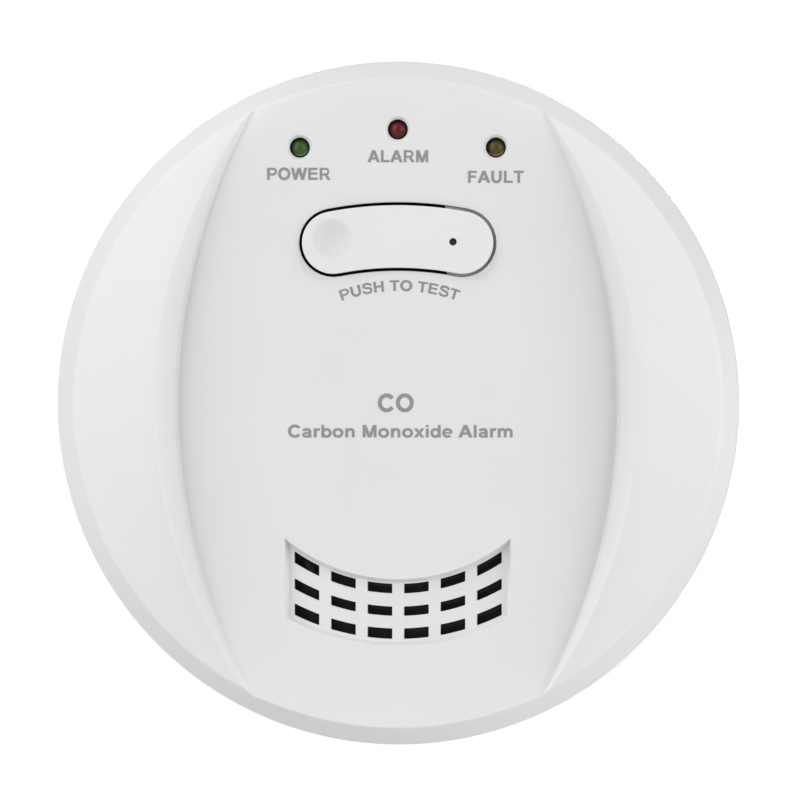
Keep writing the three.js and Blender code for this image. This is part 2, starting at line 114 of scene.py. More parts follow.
def patch(skin, loops, top, normal, lines=(), grid=(), inside=None, flip=False, mat=0):
    """Triangulates the area between the loops (outer first, holes after) as a height field; returns the loops' vertex indices."""
    pts, edges, spans = [], [], []
    for lp in loops:
        s = len(pts)
        pts.extend([(float(p[0]), float(p[1])) for p in lp])
        n = len(lp)
        edges.extend([(s + i, s + (i + 1) % n) for i in range(n)])
        spans.append((s, n))
    for ln, closed in lines:
        s = len(pts)
        pts.extend([(float(p[0]), float(p[1])) for p in ln])
        n = len(ln)
        edges.extend([(s + i, s + (i + 1) % n) for i in range(n if closed else n - 1)])
    pts.extend([(float(p[0]), float(p[1])) for p in grid])
    vv, ee, ff, ov, _, _ = delaunay_2d_cdt([Vector(p) for p in pts], edges, [], 0, 1e-6)
    P = np.array([(p[0], p[1]) for p in vv])
    back = {}
    for out, src in enumerate(ov):
        for s in src:
            back[s] = out
    tri = []
    for f in ff:
        for k in range(1, len(f) - 1):
            tri.append((f[0], f[k], f[k + 1]))
    T = np.array(tri)
    cen = P[T].mean(1)
    keep = np.ones(len(T), bool)
    for k, lp in enumerate(loops):
        ins = in_poly(cen, np.array([(p[0], p[1]) for p in lp]))
        keep &= ins if k == 0 else ~ins
    T = T[keep]
    used = np.unique(T)
    Z = top(P[:, 0], P[:, 1])
    N = normal(P[:, 0], P[:, 1])
    if flip:
        N = -N
    remap = {}
    base = skin.add([(P[i, 0], P[i, 1], Z[i]) for i in used])
    for i, b in zip(used, base):
        remap[int(i)] = b
    for a, b, c in T:
        ar = (P[b, 0] - P[a, 0]) * (P[c, 1] - P[a, 1]) - (P[b, 1] - P[a, 1]) * (P[c, 0] - P[a, 0])
        if abs(ar) < 1e-12:
            continue
        if (ar < 0) != flip:
            b, c = c, b
        skin.face((remap[a], remap[b], remap[c]), (N[a], N[b], N[c]), mat)
    return [[remap[back[s + i]] for i in range(n)] for s, n in spans]


def in_poly(p, poly):
    x, y = p[:, 0], p[:, 1]
    ins = np.zeros(len(p), bool)
    x0, y0 = poly[:, 0], poly[:, 1]
    x1, y1 = np.roll(x0, -1), np.roll(y0, -1)
    for a, b, c, d in zip(x0, y0, x1, y1):
        if b == d:
            continue
        cross = ((b > y) != (d > y)) & (x < (c - a) * (y - b) / (d - b) + a)
        ins ^= cross
    return ins


def grad_normal(top, e=1e-3):
    def normal(x, y):
        gx = (top(x + e, y) - top(x - e, y)) / (2 * e)
        gy = (top(x, y + e) - top(x, y - e)) / (2 * e)
        n = np.stack([-gx, -gy, np.ones_like(gx)], 1)
        return n / np.linalg.norm(n, axis=1)[:, None]
    return normal


def smin(a, b, k):
    h = np.clip(0.5 + 0.5 * (b - a) / k, 0, 1)
    return b + (a - b) * h - k * h * (1 - h)


def smax(a, b, k):
    return -smin(-a, -b, k)


def circle(r, n, cx=0.0, cy=0.0, start=0.0):
    """[x, y, nx, ny] counter-clockwise."""
    a = start + np.arange(n) * 2 * math.pi / n
    return np.stack([cx + r * np.cos(a), cy + r * np.sin(a), np.cos(a), np.sin(a)], 1)


def rounded(poly, r, seg=4, step=None):
    """Counter-clockwise polygon with corners rounded to r, as [x, y, nx, ny] with outward normals; long edges are divided by step."""
    poly = [np.array(p, float) for p in poly]
    n = len(poly)
    out = []
    for i in range(n):
        a, b, c = poly[i - 1], poly[i], poly[(i + 1) % n]
        u, v = (b - a) / np.linalg.norm(b - a), (c - b) / np.linalg.norm(c - b)
        turn = math.atan2(u[0] * v[1] - u[1] * v[0], float(np.dot(u, v)))
        nu, nv = np.array([u[1], -u[0]]), np.array([v[1], -v[0]])
        if abs(turn) < math.radians(12):
            m = nu + nv
            m /= np.linalg.norm(m)
            out.append((b[0], b[1], m[0], m[1]))
            continue
        t = abs(r * math.tan(turn / 2))
        t = min(t, 0.45 * min(np.linalg.norm(b - a), np.linalg.norm(c - b)))
        rr = t / abs(math.tan(turn / 2))
        s = 1.0 if turn > 0 else -1.0
        centre = b - u * t - nu * rr * s
        a0 = math.atan2(*(nu * s)[::-1])
        for k in range(seg + 1):
            ang = a0 + turn * k / seg
            d = np.array([math.cos(ang), math.sin(ang)])
            p = centre + d * rr
            out.append((p[0], p[1], d[0] * s, d[1] * s))
    out = np.array(out)
    if step:
        res = []
        for i in range(len(out)):
            a, b = out[i], out[(i + 1) % len(out)]
            m = max(1, int(math.ceil(np.linalg.norm(b[:2] - a[:2]) / step)))
            for k in range(m):
                q = a + (b - a) * k / m
                q[2:] /= np.linalg.norm(q[2:])
                res.append(q)
        out = np.array(res)
    return out


def offset(loop, d):
    out = loop.copy()
    out[:, 0] += loop[:, 2] * d
    out[:, 1] += loop[:, 3] * d
    return out


def band(r0, r1, x0, x1, n):
    """Counter-clockwise outline below the middle between two radii and two x values."""
    low = [(x, -math.sqrt(r1 * r1 - x * x)) for x in np.linspace(x0, x1, n + 1)]
    high = [(x, -math.sqrt(r0 * r0 - x * x)) for x in np.linspace(x1, x0, n + 1)]
    return low + high


def capsule(d, arc_steps=24, end_steps=16):
    """Counter-clockwise curved capsule, [x, y, nx, ny]."""
    cy, r, half = BTN_TOP - BTN_ARC, BTN_R + d, math.asin(BTN_HALF / BTN_ARC)
    out = []
    # lower arc, left to right (normal points down towards the arc's centre)
    for i in range(arc_steps + 1):
        a = math.pi / 2 + half - 2 * half * i / arc_steps
        out.append(((BTN_ARC - r) * math.cos(a), cy + (BTN_ARC - r) * math.sin(a), -math.cos(a), -math.sin(a)))
    a0 = math.pi / 2 - half
    mx, my = BTN_ARC * math.cos(a0), cy + BTN_ARC * math.sin(a0)
    for i in range(1, end_steps):
        a = a0 - math.pi + math.pi * i / end_steps
        out.append((mx + r * math.cos(a), my + r * math.sin(a), math.cos(a), math.sin(a)))
    for i in range(arc_steps + 1):
        a = a0 + 2 * half * i / arc_steps
        out.append(((BTN_ARC + r) * math.cos(a), cy + (BTN_ARC + r) * math.sin(a), math.cos(a), math.sin(a)))
    a1 = math.pi / 2 + half
    mx, my = BTN_ARC * math.cos(a1), cy + BTN_ARC * math.sin(a1)
    for i in range(1, end_steps):
        a = a1 + math.pi * i / end_steps
        out.append((mx + r * math.cos(a), my + r * math.sin(a), math.cos(a), math.sin(a)))
    return np.array(out)


def hex_grid(x0, x1, y0, y1, step):
    pts = []
    row = 0
    y = y0
    while y <= y1:
        x = x0 + (step / 2 if row % 2 else 0)
        while x <= x1:
            pts.append((x, y))
            x += step
        y += step * 0.866
        row += 1
    return np.array(pts)


def far_from(points, others, d):
    """The points further than d from all of the others."""
    if len(others) == 0:
        return points
    from mathutils.kdtree import KDTree
    kd = KDTree(len(others))
    for i, q in enumerate(others):
        kd.insert((q[0], q[1], 0.0), i)
    kd.balance()
    keep = [kd.find((p[0], p[1], 0.0))[2] > d for p in points]
    return points[np.array(keep)]


def edge_walls(skin, loop, idx_top, z_top, n_top, r, z_bot, idx_bot=None, hole=True, seg=4, mat=0):
    """From the top patch's boundary (at offset r from the wall) round an edge of radius r, down a straight wall to z_bot.
    loop is the wall line; for a hole its normals point into the material. Returns the bottom ring's indices."""
    s = 1.0 if hole else -1.0
    ring, rn = idx_top, n_top
    h = np.stack([loop[:, 2] * -s, loop[:, 3] * -s, np.zeros(len(loop))], 1)   # direction away from the material
    for k in range(1, seg + 1):
        th = math.pi / 2 * k / seg
        off = offset(loop, s * r * (1 - math.sin(th)))
        z = z_top - r * (1 - math.cos(th))
        idx = skin.add([(off[i, 0], off[i, 1], z[i] if hasattr(z, "__len__") else z) for i in range(len(loop))])
        nn = n_top * math.cos(th) + h * math.sin(th)
        if hole:
            skin.strip(ring, idx, rn, nn, mat)
        else:
            skin.strip(idx, ring, nn, rn, mat)
        ring, rn = idx, nn
    if idx_bot is None:
        idx_bot = skin.add([(loop[i, 0], loop[i, 1], z_bot[i] if hasattr(z_bot, "__len__") else z_bot) for i in range(len(loop))])
    if hole:
        skin.strip(ring, idx_bot, h, h, mat)
    else:
        skin.strip(idx_bot, ring, h, h, mat)
    return idx_bot


def turned(name, profile, n=64, cx=0.0, cy=0.0, fillet=None, arc=None):
    """A turned solid about w. profile is [r, w] pairs, counter-clockwise seen with r to the right and w up (outside on the right);
    starts and ends on the axis, or is a closed ring. fillet rounds its corners."""
    prof = [tuple(p) for p in profile]
    closed = not (prof[0][0] == 0 and prof[-1][0] == 0)
    if fillet:
        prof = fillet_profile(prof, fillet, closed)
    sk = Skin()
    lathe_into(sk, prof, n, cx, cy, closed)
    return sk


def lathe_into(sk, prof, n, cx, cy, closed, mat=0):
    cos, sin = np.cos(np.arange(n) * 2 * math.pi / n), np.sin(np.arange(n) * 2 * math.pi / n)
    rings = []
    for r, w in prof:
        if r < 1e-9:
            rings.append(sk.add([(cx, cy, w)]))
        else:
            rings.append(sk.add([(cx + r * cos[i], cy + r * sin[i], w) for i in range(n)]))
    pairs = [(rings[i], rings[i + 1]) for i in range(len(rings) - 1)]
    if closed:
        pairs.append((rings[-1], rings[0]))
    for a, b in pairs:
        if len(a) == 1 and len(b) == 1:
            continue
        if len(a) == 1:
            for i in range(n):
                sk.face((a[0], b[(i + 1) % n], b[i]), None, mat)
        elif len(b) == 1:
            for i in range(n):
                sk.face((a[i], a[(i + 1) % n], b[0]), None, mat)
        else:
            sk.strip(a, b, None, None, mat)


def fillet_profile(prof, spec, closed):
    """spec: one radius for all corners or {index: radius}."""
    out = []
    n = len(prof)
    for i in range(n):
        r = spec.get(i, 0) if isinstance(spec, dict) else spec
        if (not closed and i in (0, n - 1)) or r <= 0:
            out.append(prof[i])
            continue
        a, b, c = (np.array(prof[(i - 1) % n], float), np.array(prof[i], float), np.array(prof[(i + 1) % n], float))
        if np.linalg.norm(b - a) < 1e-9 or np.linalg.norm(c - b) < 1e-9:
            out.append(prof[i])
            continue
        u, v = (b - a) / np.linalg.norm(b - a), (c - b) / np.linalg.norm(c - b)
        turn = math.atan2(u[0] * v[1] - u[1] * v[0], float(np.dot(u, v)))
        if abs(turn) < 0.15:
            out.append(prof[i])
            continue
        t = min(abs(r * math.tan(turn / 2)), 0.45 * np.linalg.norm(b - a), 0.45 * np.linalg.norm(c - b))
        rr = t / abs(math.tan(turn / 2))
        s = 1 if turn > 0 else -1
        nu = np.array([u[1], -u[0]])
        centre = b - u * t - nu * rr * s
        a0 = math.atan2((nu * s)[1], (nu * s)[0])
        seg = max(2, int(abs(turn) / math.radians(22)))
        for k in range(seg + 1):
            ang = a0 + turn * k / seg
            out.append((float(centre[0] + rr * math.cos(ang)), float(centre[1] + rr * math.sin(ang))))
    return out


def prism(sk, loop, z0, z1, edge=0.0, seg=2, mat=0, edge_low=None):
    """A solid with the outline loop ([x, y, nx, ny], counter-clockwise) between two heights, with rounded top and bottom edges."""
    edge_low = edge if edge_low is None else edge_low
    rings = []
    prof = []
    if edge_low > 0:
        prof += [(edge_low * (1 - math.sin(math.pi / 2 * k / seg)), z0 + edge_low * (1 - math.cos(math.pi / 2 * k / seg))) for k in range(seg + 1)]
    else:
        prof += [(0.0, z0)]
    if edge > 0:
        prof += [(edge * (1 - math.cos(math.pi / 2 * k / seg)), z1 - edge * (1 - math.sin(math.pi / 2 * k / seg))) for k in range(seg + 1)]
    else:
        prof += [(0.0, z1)]
    for ins, z in prof:
        o = offset(loop, -ins)
        rings.append(sk.add([(p[0], p[1], z) for p in o]))
    for a, b in zip(rings[:-1], rings[1:]):
        sk.strip(a, b, None, None, mat)
    sk.face(tuple(reversed(rings[0])), None, mat)
    sk.face(tuple(rings[-1]), None, mat)


# ------------------------------------------------------------------ materials
def material(name, colour, rough=0.45, metal=0.0, noise=None, bump=None, coat=None, spec=0.5, mottling=0.03, rough_var=0.06, transmission=0.0, ior=1.5, alpha=1.0, sss=0.0, edge=0.0):
    """A procedural material: base colour with slight variation, roughness variation and fine bump. Scales are in mm."""
    m = bpy.data.materials.new(name)
    m.use_nodes = True
    nt = m.node_tree
    b = nt.nodes["Principled BSDF"]
    L = nt.links.new
    geo = nt.nodes.new("ShaderNodeTexCoord")
    big = nt.nodes.new("ShaderNodeTexNoise")
    big.inputs["Scale"].default_value = 1000.0 / (noise or 18.0)
    big.inputs["Detail"].default_value = 3.0
    L(geo.outputs["Object"], big.inputs["Vector"])
    ramp = nt.nodes.new("ShaderNodeMapRange")
    ramp.inputs["From Min"].default_value = 0.3
    ramp.inputs["From Max"].default_value = 0.7
    ramp.inputs["To Min"].default_value = 1.0 - mottling
    ramp.inputs["To Max"].default_value = 1.0 + mottling
    L(big.outputs["Fac"], ramp.inputs["Value"])
    mul = nt.nodes.new("ShaderNodeVectorMath")
    mul.operation = "SCALE"
    mul.inputs[0].default_value = colour
    L(ramp.outputs["Result"], mul.inputs["Scale"])
    L(mul.outputs["Vector"], b.inputs["Base Color"])
    rr = nt.nodes.new("ShaderNodeMapRange")
    rr.inputs["To Min"].default_value = max(0.02, rough - rough_var)
    rr.inputs["To Max"].default_value = min(1.0, rough + rough_var)
    L(big.outputs["Fac"], rr.inputs["Value"])
    L(rr.outputs["Result"], b.inputs["Roughness"])
    b.inputs["Metallic"].default_value = metal
    b.inputs["IOR"].default_value = ior
    b.inputs["Specular IOR Level"].default_value = spec
    b.inputs["Transmission Weight"].default_value = transmission
    if coat:
        b.inputs["Coat Weight"].default_value = coat[0]
        b.inputs["Coat Roughness"].default_value = coat[1]
    if bump:
        size, dist, strength = bump
        fine = nt.nodes.new("ShaderNodeTexNoise")
        fine.inputs["Scale"].default_value = 1000.0 / size
        fine.inputs["Detail"].default_value = 2.0
        L(geo.outputs["Object"], fine.inputs["Vector"])
        bm = nt.nodes.new("ShaderNodeBump")
        bm.inputs["Distance"].default_value = dist * 1e-3
        bm.inputs["Strength"].default_value = strength
        L(fine.outputs["Fac"], bm.inputs["Height"])
        L(bm.outputs["Normal"], b.inputs["Normal"])
    return m


M = {}
M["white"] = material("white_plastic", (0.780, 0.780, 0.780), 0.42, bump=(0.30, 0.006, 0.2), mottling=0.008)


class Field:
    """Short hand for arithmetic on an object's own coordinates, in mm, inside a node tree."""
    def __init__(self, m):
        self.nt = m.node_tree
        self.b = self.nt.nodes["Principled BSDF"]
        tc = self.nt.nodes.new("ShaderNodeTexCoord")
        mm = self.nt.nodes.new("ShaderNodeVectorMath")
        mm.operation = "SCALE"
        mm.inputs["Scale"].default_value = 1000.0
        sep = self.nt.nodes.new("ShaderNodeSeparateXYZ")
        self.nt.links.new(tc.outputs["Object"], mm.inputs[0])
        self.nt.links.new(mm.outputs["Vector"], sep.inputs[0])
        self.x, self.y, self.w = sep.outputs["X"], sep.outputs["Z"], self.op("MULTIPLY", sep.outputs["Y"], -1.0)

    def op(self, kind, *args):
        n = self.nt.nodes.new("ShaderNodeMath")
        n.operation = kind
        for i, a in enumerate(args):
            if isinstance(a, (int, float)):
                n.inputs[i].default_value = a
            else:
                self.nt.links.new(a, n.inputs[i])
        return n.outputs[0]

    def length(self, a, b):
        return self.op("SQRT", self.op("ADD", self.op("MULTIPLY", a, a), self.op("MULTIPLY", b, b)))

    def ramp(self, value, stops):
        lo, hi = stops[0][0], stops[-1][0]
        pos = self.nt.nodes.new("ShaderNodeMapRange")
        pos.inputs["From Min"].default_value, pos.inputs["From Max"].default_value = lo, hi
        self.nt.links.new(value, pos.inputs["Value"])
        r = self.nt.nodes.new("ShaderNodeValToRGB")
        cr = r.color_ramp
        while len(cr.elements) < len(stops):
            cr.elements.new(0.5)
        for e, (d, v) in zip(cr.elements, stops):
            e.position = (d - lo) / (hi - lo)
            e.color = (v, v, v, 1)
        self.nt.links.new(pos.outputs["Result"], r.inputs["Fac"])
        return r.outputs["Color"]

    def multiply(self, value):
        src = self.b.inputs["Base Color"].links[0].from_socket
        mul = self.nt.nodes.new("ShaderNodeVectorMath")
        mul.operation = "SCALE"
        self.nt.links.new(src, mul.inputs[0])
        self.nt.links.new(value, mul.inputs["Scale"])
        self.nt.links.new(mul.outputs["Vector"], self.b.inputs["Base Color"])


def capsule_distance(f):
    across = f.op("MAXIMUM", f.op("SUBTRACT", f.op("ABSOLUTE", f.x), BTN_HALF), 0.0)
    rise = f.op("SUBTRACT", f.length(f.x, f.op("SUBTRACT", f.y, BTN_TOP - BTN_ARC)), BTN_ARC)
    return f.op("SUBTRACT", f.length(across, rise), BTN_R)


def valley_shade(m):
    """Painted shade: the plastic's colour is darkened in the valleys between panel and wings, and close round the
    button, where shade falls.
    """
    f = Field(m)
    d = f.op("SUBTRACT", f.length(f.op("ADD", f.op("ABSOLUTE", f.x), LENS_C), f.y), LENS_R)
    dark = f.ramp(d, VALLEY_PAINTED_SHADE)
    strength = f.ramp(f.length(f.x, f.y), [(20.0, 1.0), (34.2, 1.0), (38.0, 0.90), (42.0, 0.68), (46.0, 0.42), (49.2, 0.12), (50.3, 0.0), (60.0, 0.0)])
    valley = f.op("SUBTRACT", 1.0, f.op("MULTIPLY", f.op("SUBTRACT", 1.0, dark), strength))
    # painted shade in a narrow band round the button's gap
    button_painted_shade = f.ramp(capsule_distance(f), [(-1.0, 0.88), (0.45, 0.88), (0.75, 0.93), (1.15, 0.965), (1.8, 0.985), (3.0, 1.0)])
    f.multiply(f.op("MULTIPLY", valley, button_painted_shade))


def dimple_shade(m):
    """Painted shade: the colour of the finger spot on the button is made a little darker, where the dimple reads darker
    under the light.
    """
    f = Field(m)
    rho = f.length(f.op("SUBTRACT", f.x, DIMPLE[0]), f.op("SUBTRACT", f.y, DIMPLE[1]))
    f.multiply(f.ramp(rho, [(0.0, 0.885), (2.65, 0.895), (3.05, 0.955), (3.3, 0.99), (3.7, 1.0)]))


DIMPLE, DOT = (-10.22, 25.55), (8.60, 25.02)
# painted shade in the valley: how much darker the colour is, by distance from the panel's edge
VALLEY_PAINTED_SHADE = [(-15, 0.975), (-9, 0.955), (-5, 0.935), (-3, 0.912), (-1.8, 0.888), (-0.9, 0.862), (-0.35, 0.838), (0.02, 0.820), (0.28, 0.905), (1.5, 0.935), (3.4, 0.962), (5, 0.985)]
valley_shade(M["white"])
M["button"] = material("button_plastic", (0.785, 0.785, 0.785), 0.38, bump=(0.30, 0.005, 0.2), mottling=0.008)
M["pipe"] = material("smoked_light_pipe", (0.012, 0.012, 0.0125), 0.35, noise=1.0)
dimple_shade(M["button"])
M["back"] = material("back_plastic", (0.735, 0.735, 0.732), 0.50, bump=(0.30, 0.02, 0.35), mottling=0.015)
M["black"] = material("black_plastic", (0.020, 0.020, 0.021), 0.55, bump=(0.25, 0.02, 0.4))
M["screen"] = material("dust_screen_black", (0.013, 0.013, 0.014), 0.75, bump=(0.4, 0.05, 0.5))
M["ink"] = material("grey_ink", (0.275, 0.275, 0.275), 0.60, noise=1.2, mottling=0.05)
M["ink_soft"] = material("pale_ink", (0.45, 0.45, 0.45), 0.60, noise=1.2, mottling=0.05)


def use(ob, mat, body="housing", replaces=()):
    ob.data.materials.clear()
    for m in (mat if isinstance(mat, (list, tuple)) else [mat]):
        ob.data.materials.append(M[m] if isinstance(m, str) else m)
    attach(ob, body)
    if replaces:
        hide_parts(*replaces)
    return ob


# ---------------------------------------------------------------- front cover
def lens_distance(x, y):
    return np.maximum(np.hypot(x + LENS_C, y) - LENS_R, np.hypot(x - LENS_C, y) - LENS_R)


def recess_inside(x, y):
    r = np.hypot(x, y)
    d = np.minimum(np.minimum(r - GR_R0, GR_R1 - r), GR_X - np.abs(x))
    return np.where(y < 0, d, -5.0)


RECESS_RUN = 0.50
ROLL_DROP, ROLL_RUN = 0.62, 1.7


def top_height(x, y):
    r = np.hypot(x, y)
    lens = lens_distance(x, y)
    panel = Z_PANEL - ROLL_DROP * np.exp(np.minimum(lens, 0.0) / ROLL_RUN)      # the panel rolls off into its foot
    wing = Z_PANEL + WING_SLOPE * (R_RIM - r)
    wall = Z_PANEL + WING_DRAFT * lens
    t = smax(panel, smin(wing, wall, 0.26), 0.12)
    t = smin(t, Z_PANEL - (Z_PANEL - Z_CHAMFER) / (R_CASE - R_RIM) * (r - R_RIM), 0.24)
    d = recess_inside(x, y)
    depth = Z_PANEL - GR_FLOOR
    rec = smax(np.full_like(r, GR_FLOOR), Z_PANEL - depth / RECESS_RUN * d, 0.22)
    t = np.where(d > -0.5, smin(t, rec, 0.22), t)
    for cx, cy in LED_XY.values():
        rho = np.hypot(x - cx, y - cy)
        t = np.where(rho < 2.4, smin(t, Z_PANEL - 1.15 * (2.02 - rho), 0.08), t)
    return t


def foot_line(side, delta, rmax, n=110):
    """Points of the curve at distance delta outside the panel's edge, as far as rmax from the middle."""
    pts = []
    for y in np.linspace(-51, 51, 2 * n + 1):
        q = (LENS_R + delta) ** 2 - y * y
        x = math.sqrt(q) - LENS_C
        if x > 0 and math.hypot(x, y) <= rmax:
            pts.append((side * x, y))
    return pts


def ridge_line(side, level, rmax, n=110):
    """Where the inner wall is level above (or below) the wing's cone."""
    pts = []
    for y in np.linspace(-51, 51, 2 * n + 1):
        lo, hi = 10.0, 52.0
        f = lambda x: (WING_DRAFT * (math.hypot(x + LENS_C, y) - LENS_R)) - WING_SLOPE * (R_RIM - math.hypot(x, y)) - level
        if f(lo) > 0 or f(hi) < 0:
            continue
        for _ in range(40):
            mid = (lo + hi) / 2
            lo, hi = (mid, hi) if f(mid) < 0 else (lo, mid)
        if math.hypot(lo, y) <= rmax and f(lo) > -1e-3:
            pts.append((side * lo, y))
    return pts


def front_cover():
    sk = Skin()
    NT = 264
    E_BTN, E_LED, E_SLOT = 0.15, 0.08, 0.06
    btn = capsule(BTN_GAP + 0.03)
    leds = [circle(1.56, 36, *c) for c in LED_XY.values()]
    slots = [rounded(band(r0, r1, x - SLOT_W / 2, x + SLOT_W / 2, 4), 0.09, 2) for x in SLOT_X for r0, r1 in SLOT_ROWS]
    holes = [(btn, E_BTN)] + [(l, E_LED) for l in leds] + [(l, E_SLOT) for l in slots]
    R1 = 52.40
    loops = [circle(R1, NT)] + [offset(l, e) for l, e in holes]
    lines = []
    for r in (49.90, 50.05, 50.2, 50.35, 50.5, 50.65, 50.8, 50.95, 51.6):
        lines.append((circle(r, NT)[:, :2], True))
    for side in (1, -1):
        for d in (-4.2, -2.6, -1.6, -0.9, -0.45, -0.20, -0.08, -0.01, 0.06):
            lines.append((foot_line(side, d, 50.9), False))
        for lv in (-0.27, -0.13, 0.0, 0.13, 0.27):
            lines.append((ridge_line(side, lv, 50.9), False))
    for d in (-0.10, -0.03, 0.04, 0.11, RECESS_RUN - 0.10, RECESS_RUN - 0.04, RECESS_RUN + 0.03, RECESS_RUN + 0.10):
        b = band(GR_R0 + d, GR_R1 - d, -GR_X + d, GR_X - d, 40)
        lines.append((b, True))
    for c in LED_XY.values():
        for r in (1.88, 1.96, 2.04, 2.12):
            lines.append((circle(r, 36, *c)[:, :2], True))
    lines.append((capsule(BTN_GAP + E_BTN + 0.5)[:, :2], True))
    near = np.concatenate([l[:, :2] for l in loops] + [np.array(l) for l, _ in lines if len(l)])
    g = hex_grid(-52, 52, -52, 52, 1.5)
    g = g[np.hypot(g[:, 0], g[:, 1]) < R1 - 0.5]
    g = far_from(g, near, 0.55)
    nrm = grad_normal(top_height)
    top_idx = patch(sk, loops, top_height, nrm, lines, g)

    # inner surface
    IN_R = 48.6

    def under(x, y):
        r = np.hypot(x, y)
        d = np.maximum(np.hypot(x + LENS_C, y), np.hypot(x - LENS_C, y)) - LENS_R - 2.0 + 2.2 / WING_DRAFT
        t = smax(np.full_like(r, 30.8), smin(30.8 + WING_SLOPE * (IN_R - r), 30.8 + WING_DRAFT * (d - 2.2 / WING_DRAFT), 0.4), 0.3)
        pad = np.minimum(np.minimum(r - GR_R0 + 1.5, GR_R1 + 1.4 - r), GR_X + 1.5 - np.abs(x))
        pad = np.where(y < 0, pad, -5.0)
        return smax(np.full_like(r, GR_BACK), smin(t, 30.8 - 3.0 * pad, 0.2), 0.2)

    bl = [circle(IN_R, NT)] + [l for l, _ in holes]
    blines = []
    for side in (1, -1):
        for d in (1.8, 2.0, 2.2):
            blines.append((foot_line(side, d, 48.3, 60), False))
    for d in (-0.05, 0.05, 0.40, 0.50):
        blines.append((band(GR_R0 - 1.5 + d, GR_R1 + 1.4 - d, -GR_X - 1.5 + d, GR_X + 1.5 - d, 24), True))
    near = np.concatenate([l[:, :2] for l in bl] + [np.array(l) for l, _ in blines if len(l)])
    g = hex_grid(-49, 49, -49, 49, 2.6)
    g = far_from(g[np.hypot(g[:, 0], g[:, 1]) < IN_R - 1.0], near, 0.8)
    bot_idx = patch(sk, bl, under, grad_normal(under), blines, g, flip=True)

    # hole walls
    for k, (l, e) in enumerate(holes):
        o = loops[k + 1]
        edge_walls(sk, l, top_idx[k + 1], top_height(o[:, 0], o[:, 1]), nrm(o[:, 0], o[:, 1]), e, None, bot_idx[k + 1], True, 4)

    # rim: chamfer, rounded shoulder, side wall, mating edge, inside wall
    slope = (Z_PANEL - Z_CHAMFER) / (R_CASE - R_RIM)
    a_ch = math.atan(slope)
    c0 = circle(1.0, NT)
    ring, rn = top_idx[0], nrm(R1 * c0[:, 0], R1 * c0[:, 1])
    Rf = 1.0
    tl = Rf * math.tan((math.pi / 2 - a_ch) / 2)
    prof = []
    for k in range(0, 7):
        phi = (math.pi / 2 - a_ch) * k / 6           # turn from the chamfer's direction to straight down
        n_ang = (math.pi / 2 - a_ch) - phi            # elevation of the normal
        cx_, cz_ = R_CASE - Rf, Z_CHAMFER - tl
        prof.append((cx_ + Rf * math.cos(n_ang), cz_ + Rf * math.sin(n_ang), math.cos(n_ang), math.sin(n_ang)))
    prof.append((R_CASE, 22.0, 1, 0))
    prof.append((R_CASE, Z_PART + 0.28, 1, 0))
    for k in range(1, 4):
        t = math.pi / 2 * k / 3
        prof.append((R_CASE - 0.28 * (1 - math.cos(t)), Z_PART + 0.28 * (1 - math.sin(t)), math.cos(t), -math.sin(t)))
    for r, z, nr, nz in prof:
        idx = sk.add([(r * c[0], r * c[1], z) for c in c0])
        nn = np.stack([nr * c0[:, 0], nr * c0[:, 1], np.full(NT, nz)], 1)
        sk.strip(idx, ring, nn, rn)
        ring, rn = idx, nn
    down = np.tile([0, 0, -1.0], (NT, 1))
    inward = np.stack([-c0[:, 0], -c0[:, 1], np.zeros(NT)], 1)
    i1 = sk.add([(50.8 * c[0], 50.8 * c[1], Z_PART) for c in c0])
    sk.strip(i1, ring, down, down)
    i2 = sk.add([(50.8 * c[0], 50.8 * c[1], 28.6) for c in c0])
    sk.strip(i2, i1, inward, inward)
    mid = inward * 0.7 + down * 0.7
    sk.strip(bot_idx[0], i2, mid, mid)

    # posts and hinge lugs inside, as tubes rooted in the cover
    for a in POSTS:
        x, y = POST_R * math.cos(math.radians(a)), POST_R * math.sin(math.radians(a))
        lathe_into(sk, [(1.75, 12.4), (3.2, 12.4), (3.2, 31.8), (1.75, 31.8)], 24, x, y, True)
    for x, y in PCB_POSTS:
        top = 31.4 if math.hypot(x, y) > 40 else 31.8
        lathe_into(sk, [(1.5, 21.9), (3.0, 21.9), (3.0, top), (1.5, top)], 24, x, y, True)
    px, pz = BTN_PIVOT
    for y0, y1 in ((31.4, 33.0), (16.9, 18.5)):
        out = [(px - 2.5, 31.0), (px - 2.5, pz)] + [(px - 2.5 * math.cos(t), pz - 2.5 * math.sin(t)) for t in np.linspace(0.2, math.pi - 0.2, 9)] + [(px + 2.5, pz), (px + 2.5, 31.0)]
        hol = [(px + 1.25 * math.cos(t), pz + 1.25 * math.sin(t)) for t in np.linspace(0, 2 * math.pi, 25)[:-1]]
        lug(sk, out, hol, y0, y1)
    return sk


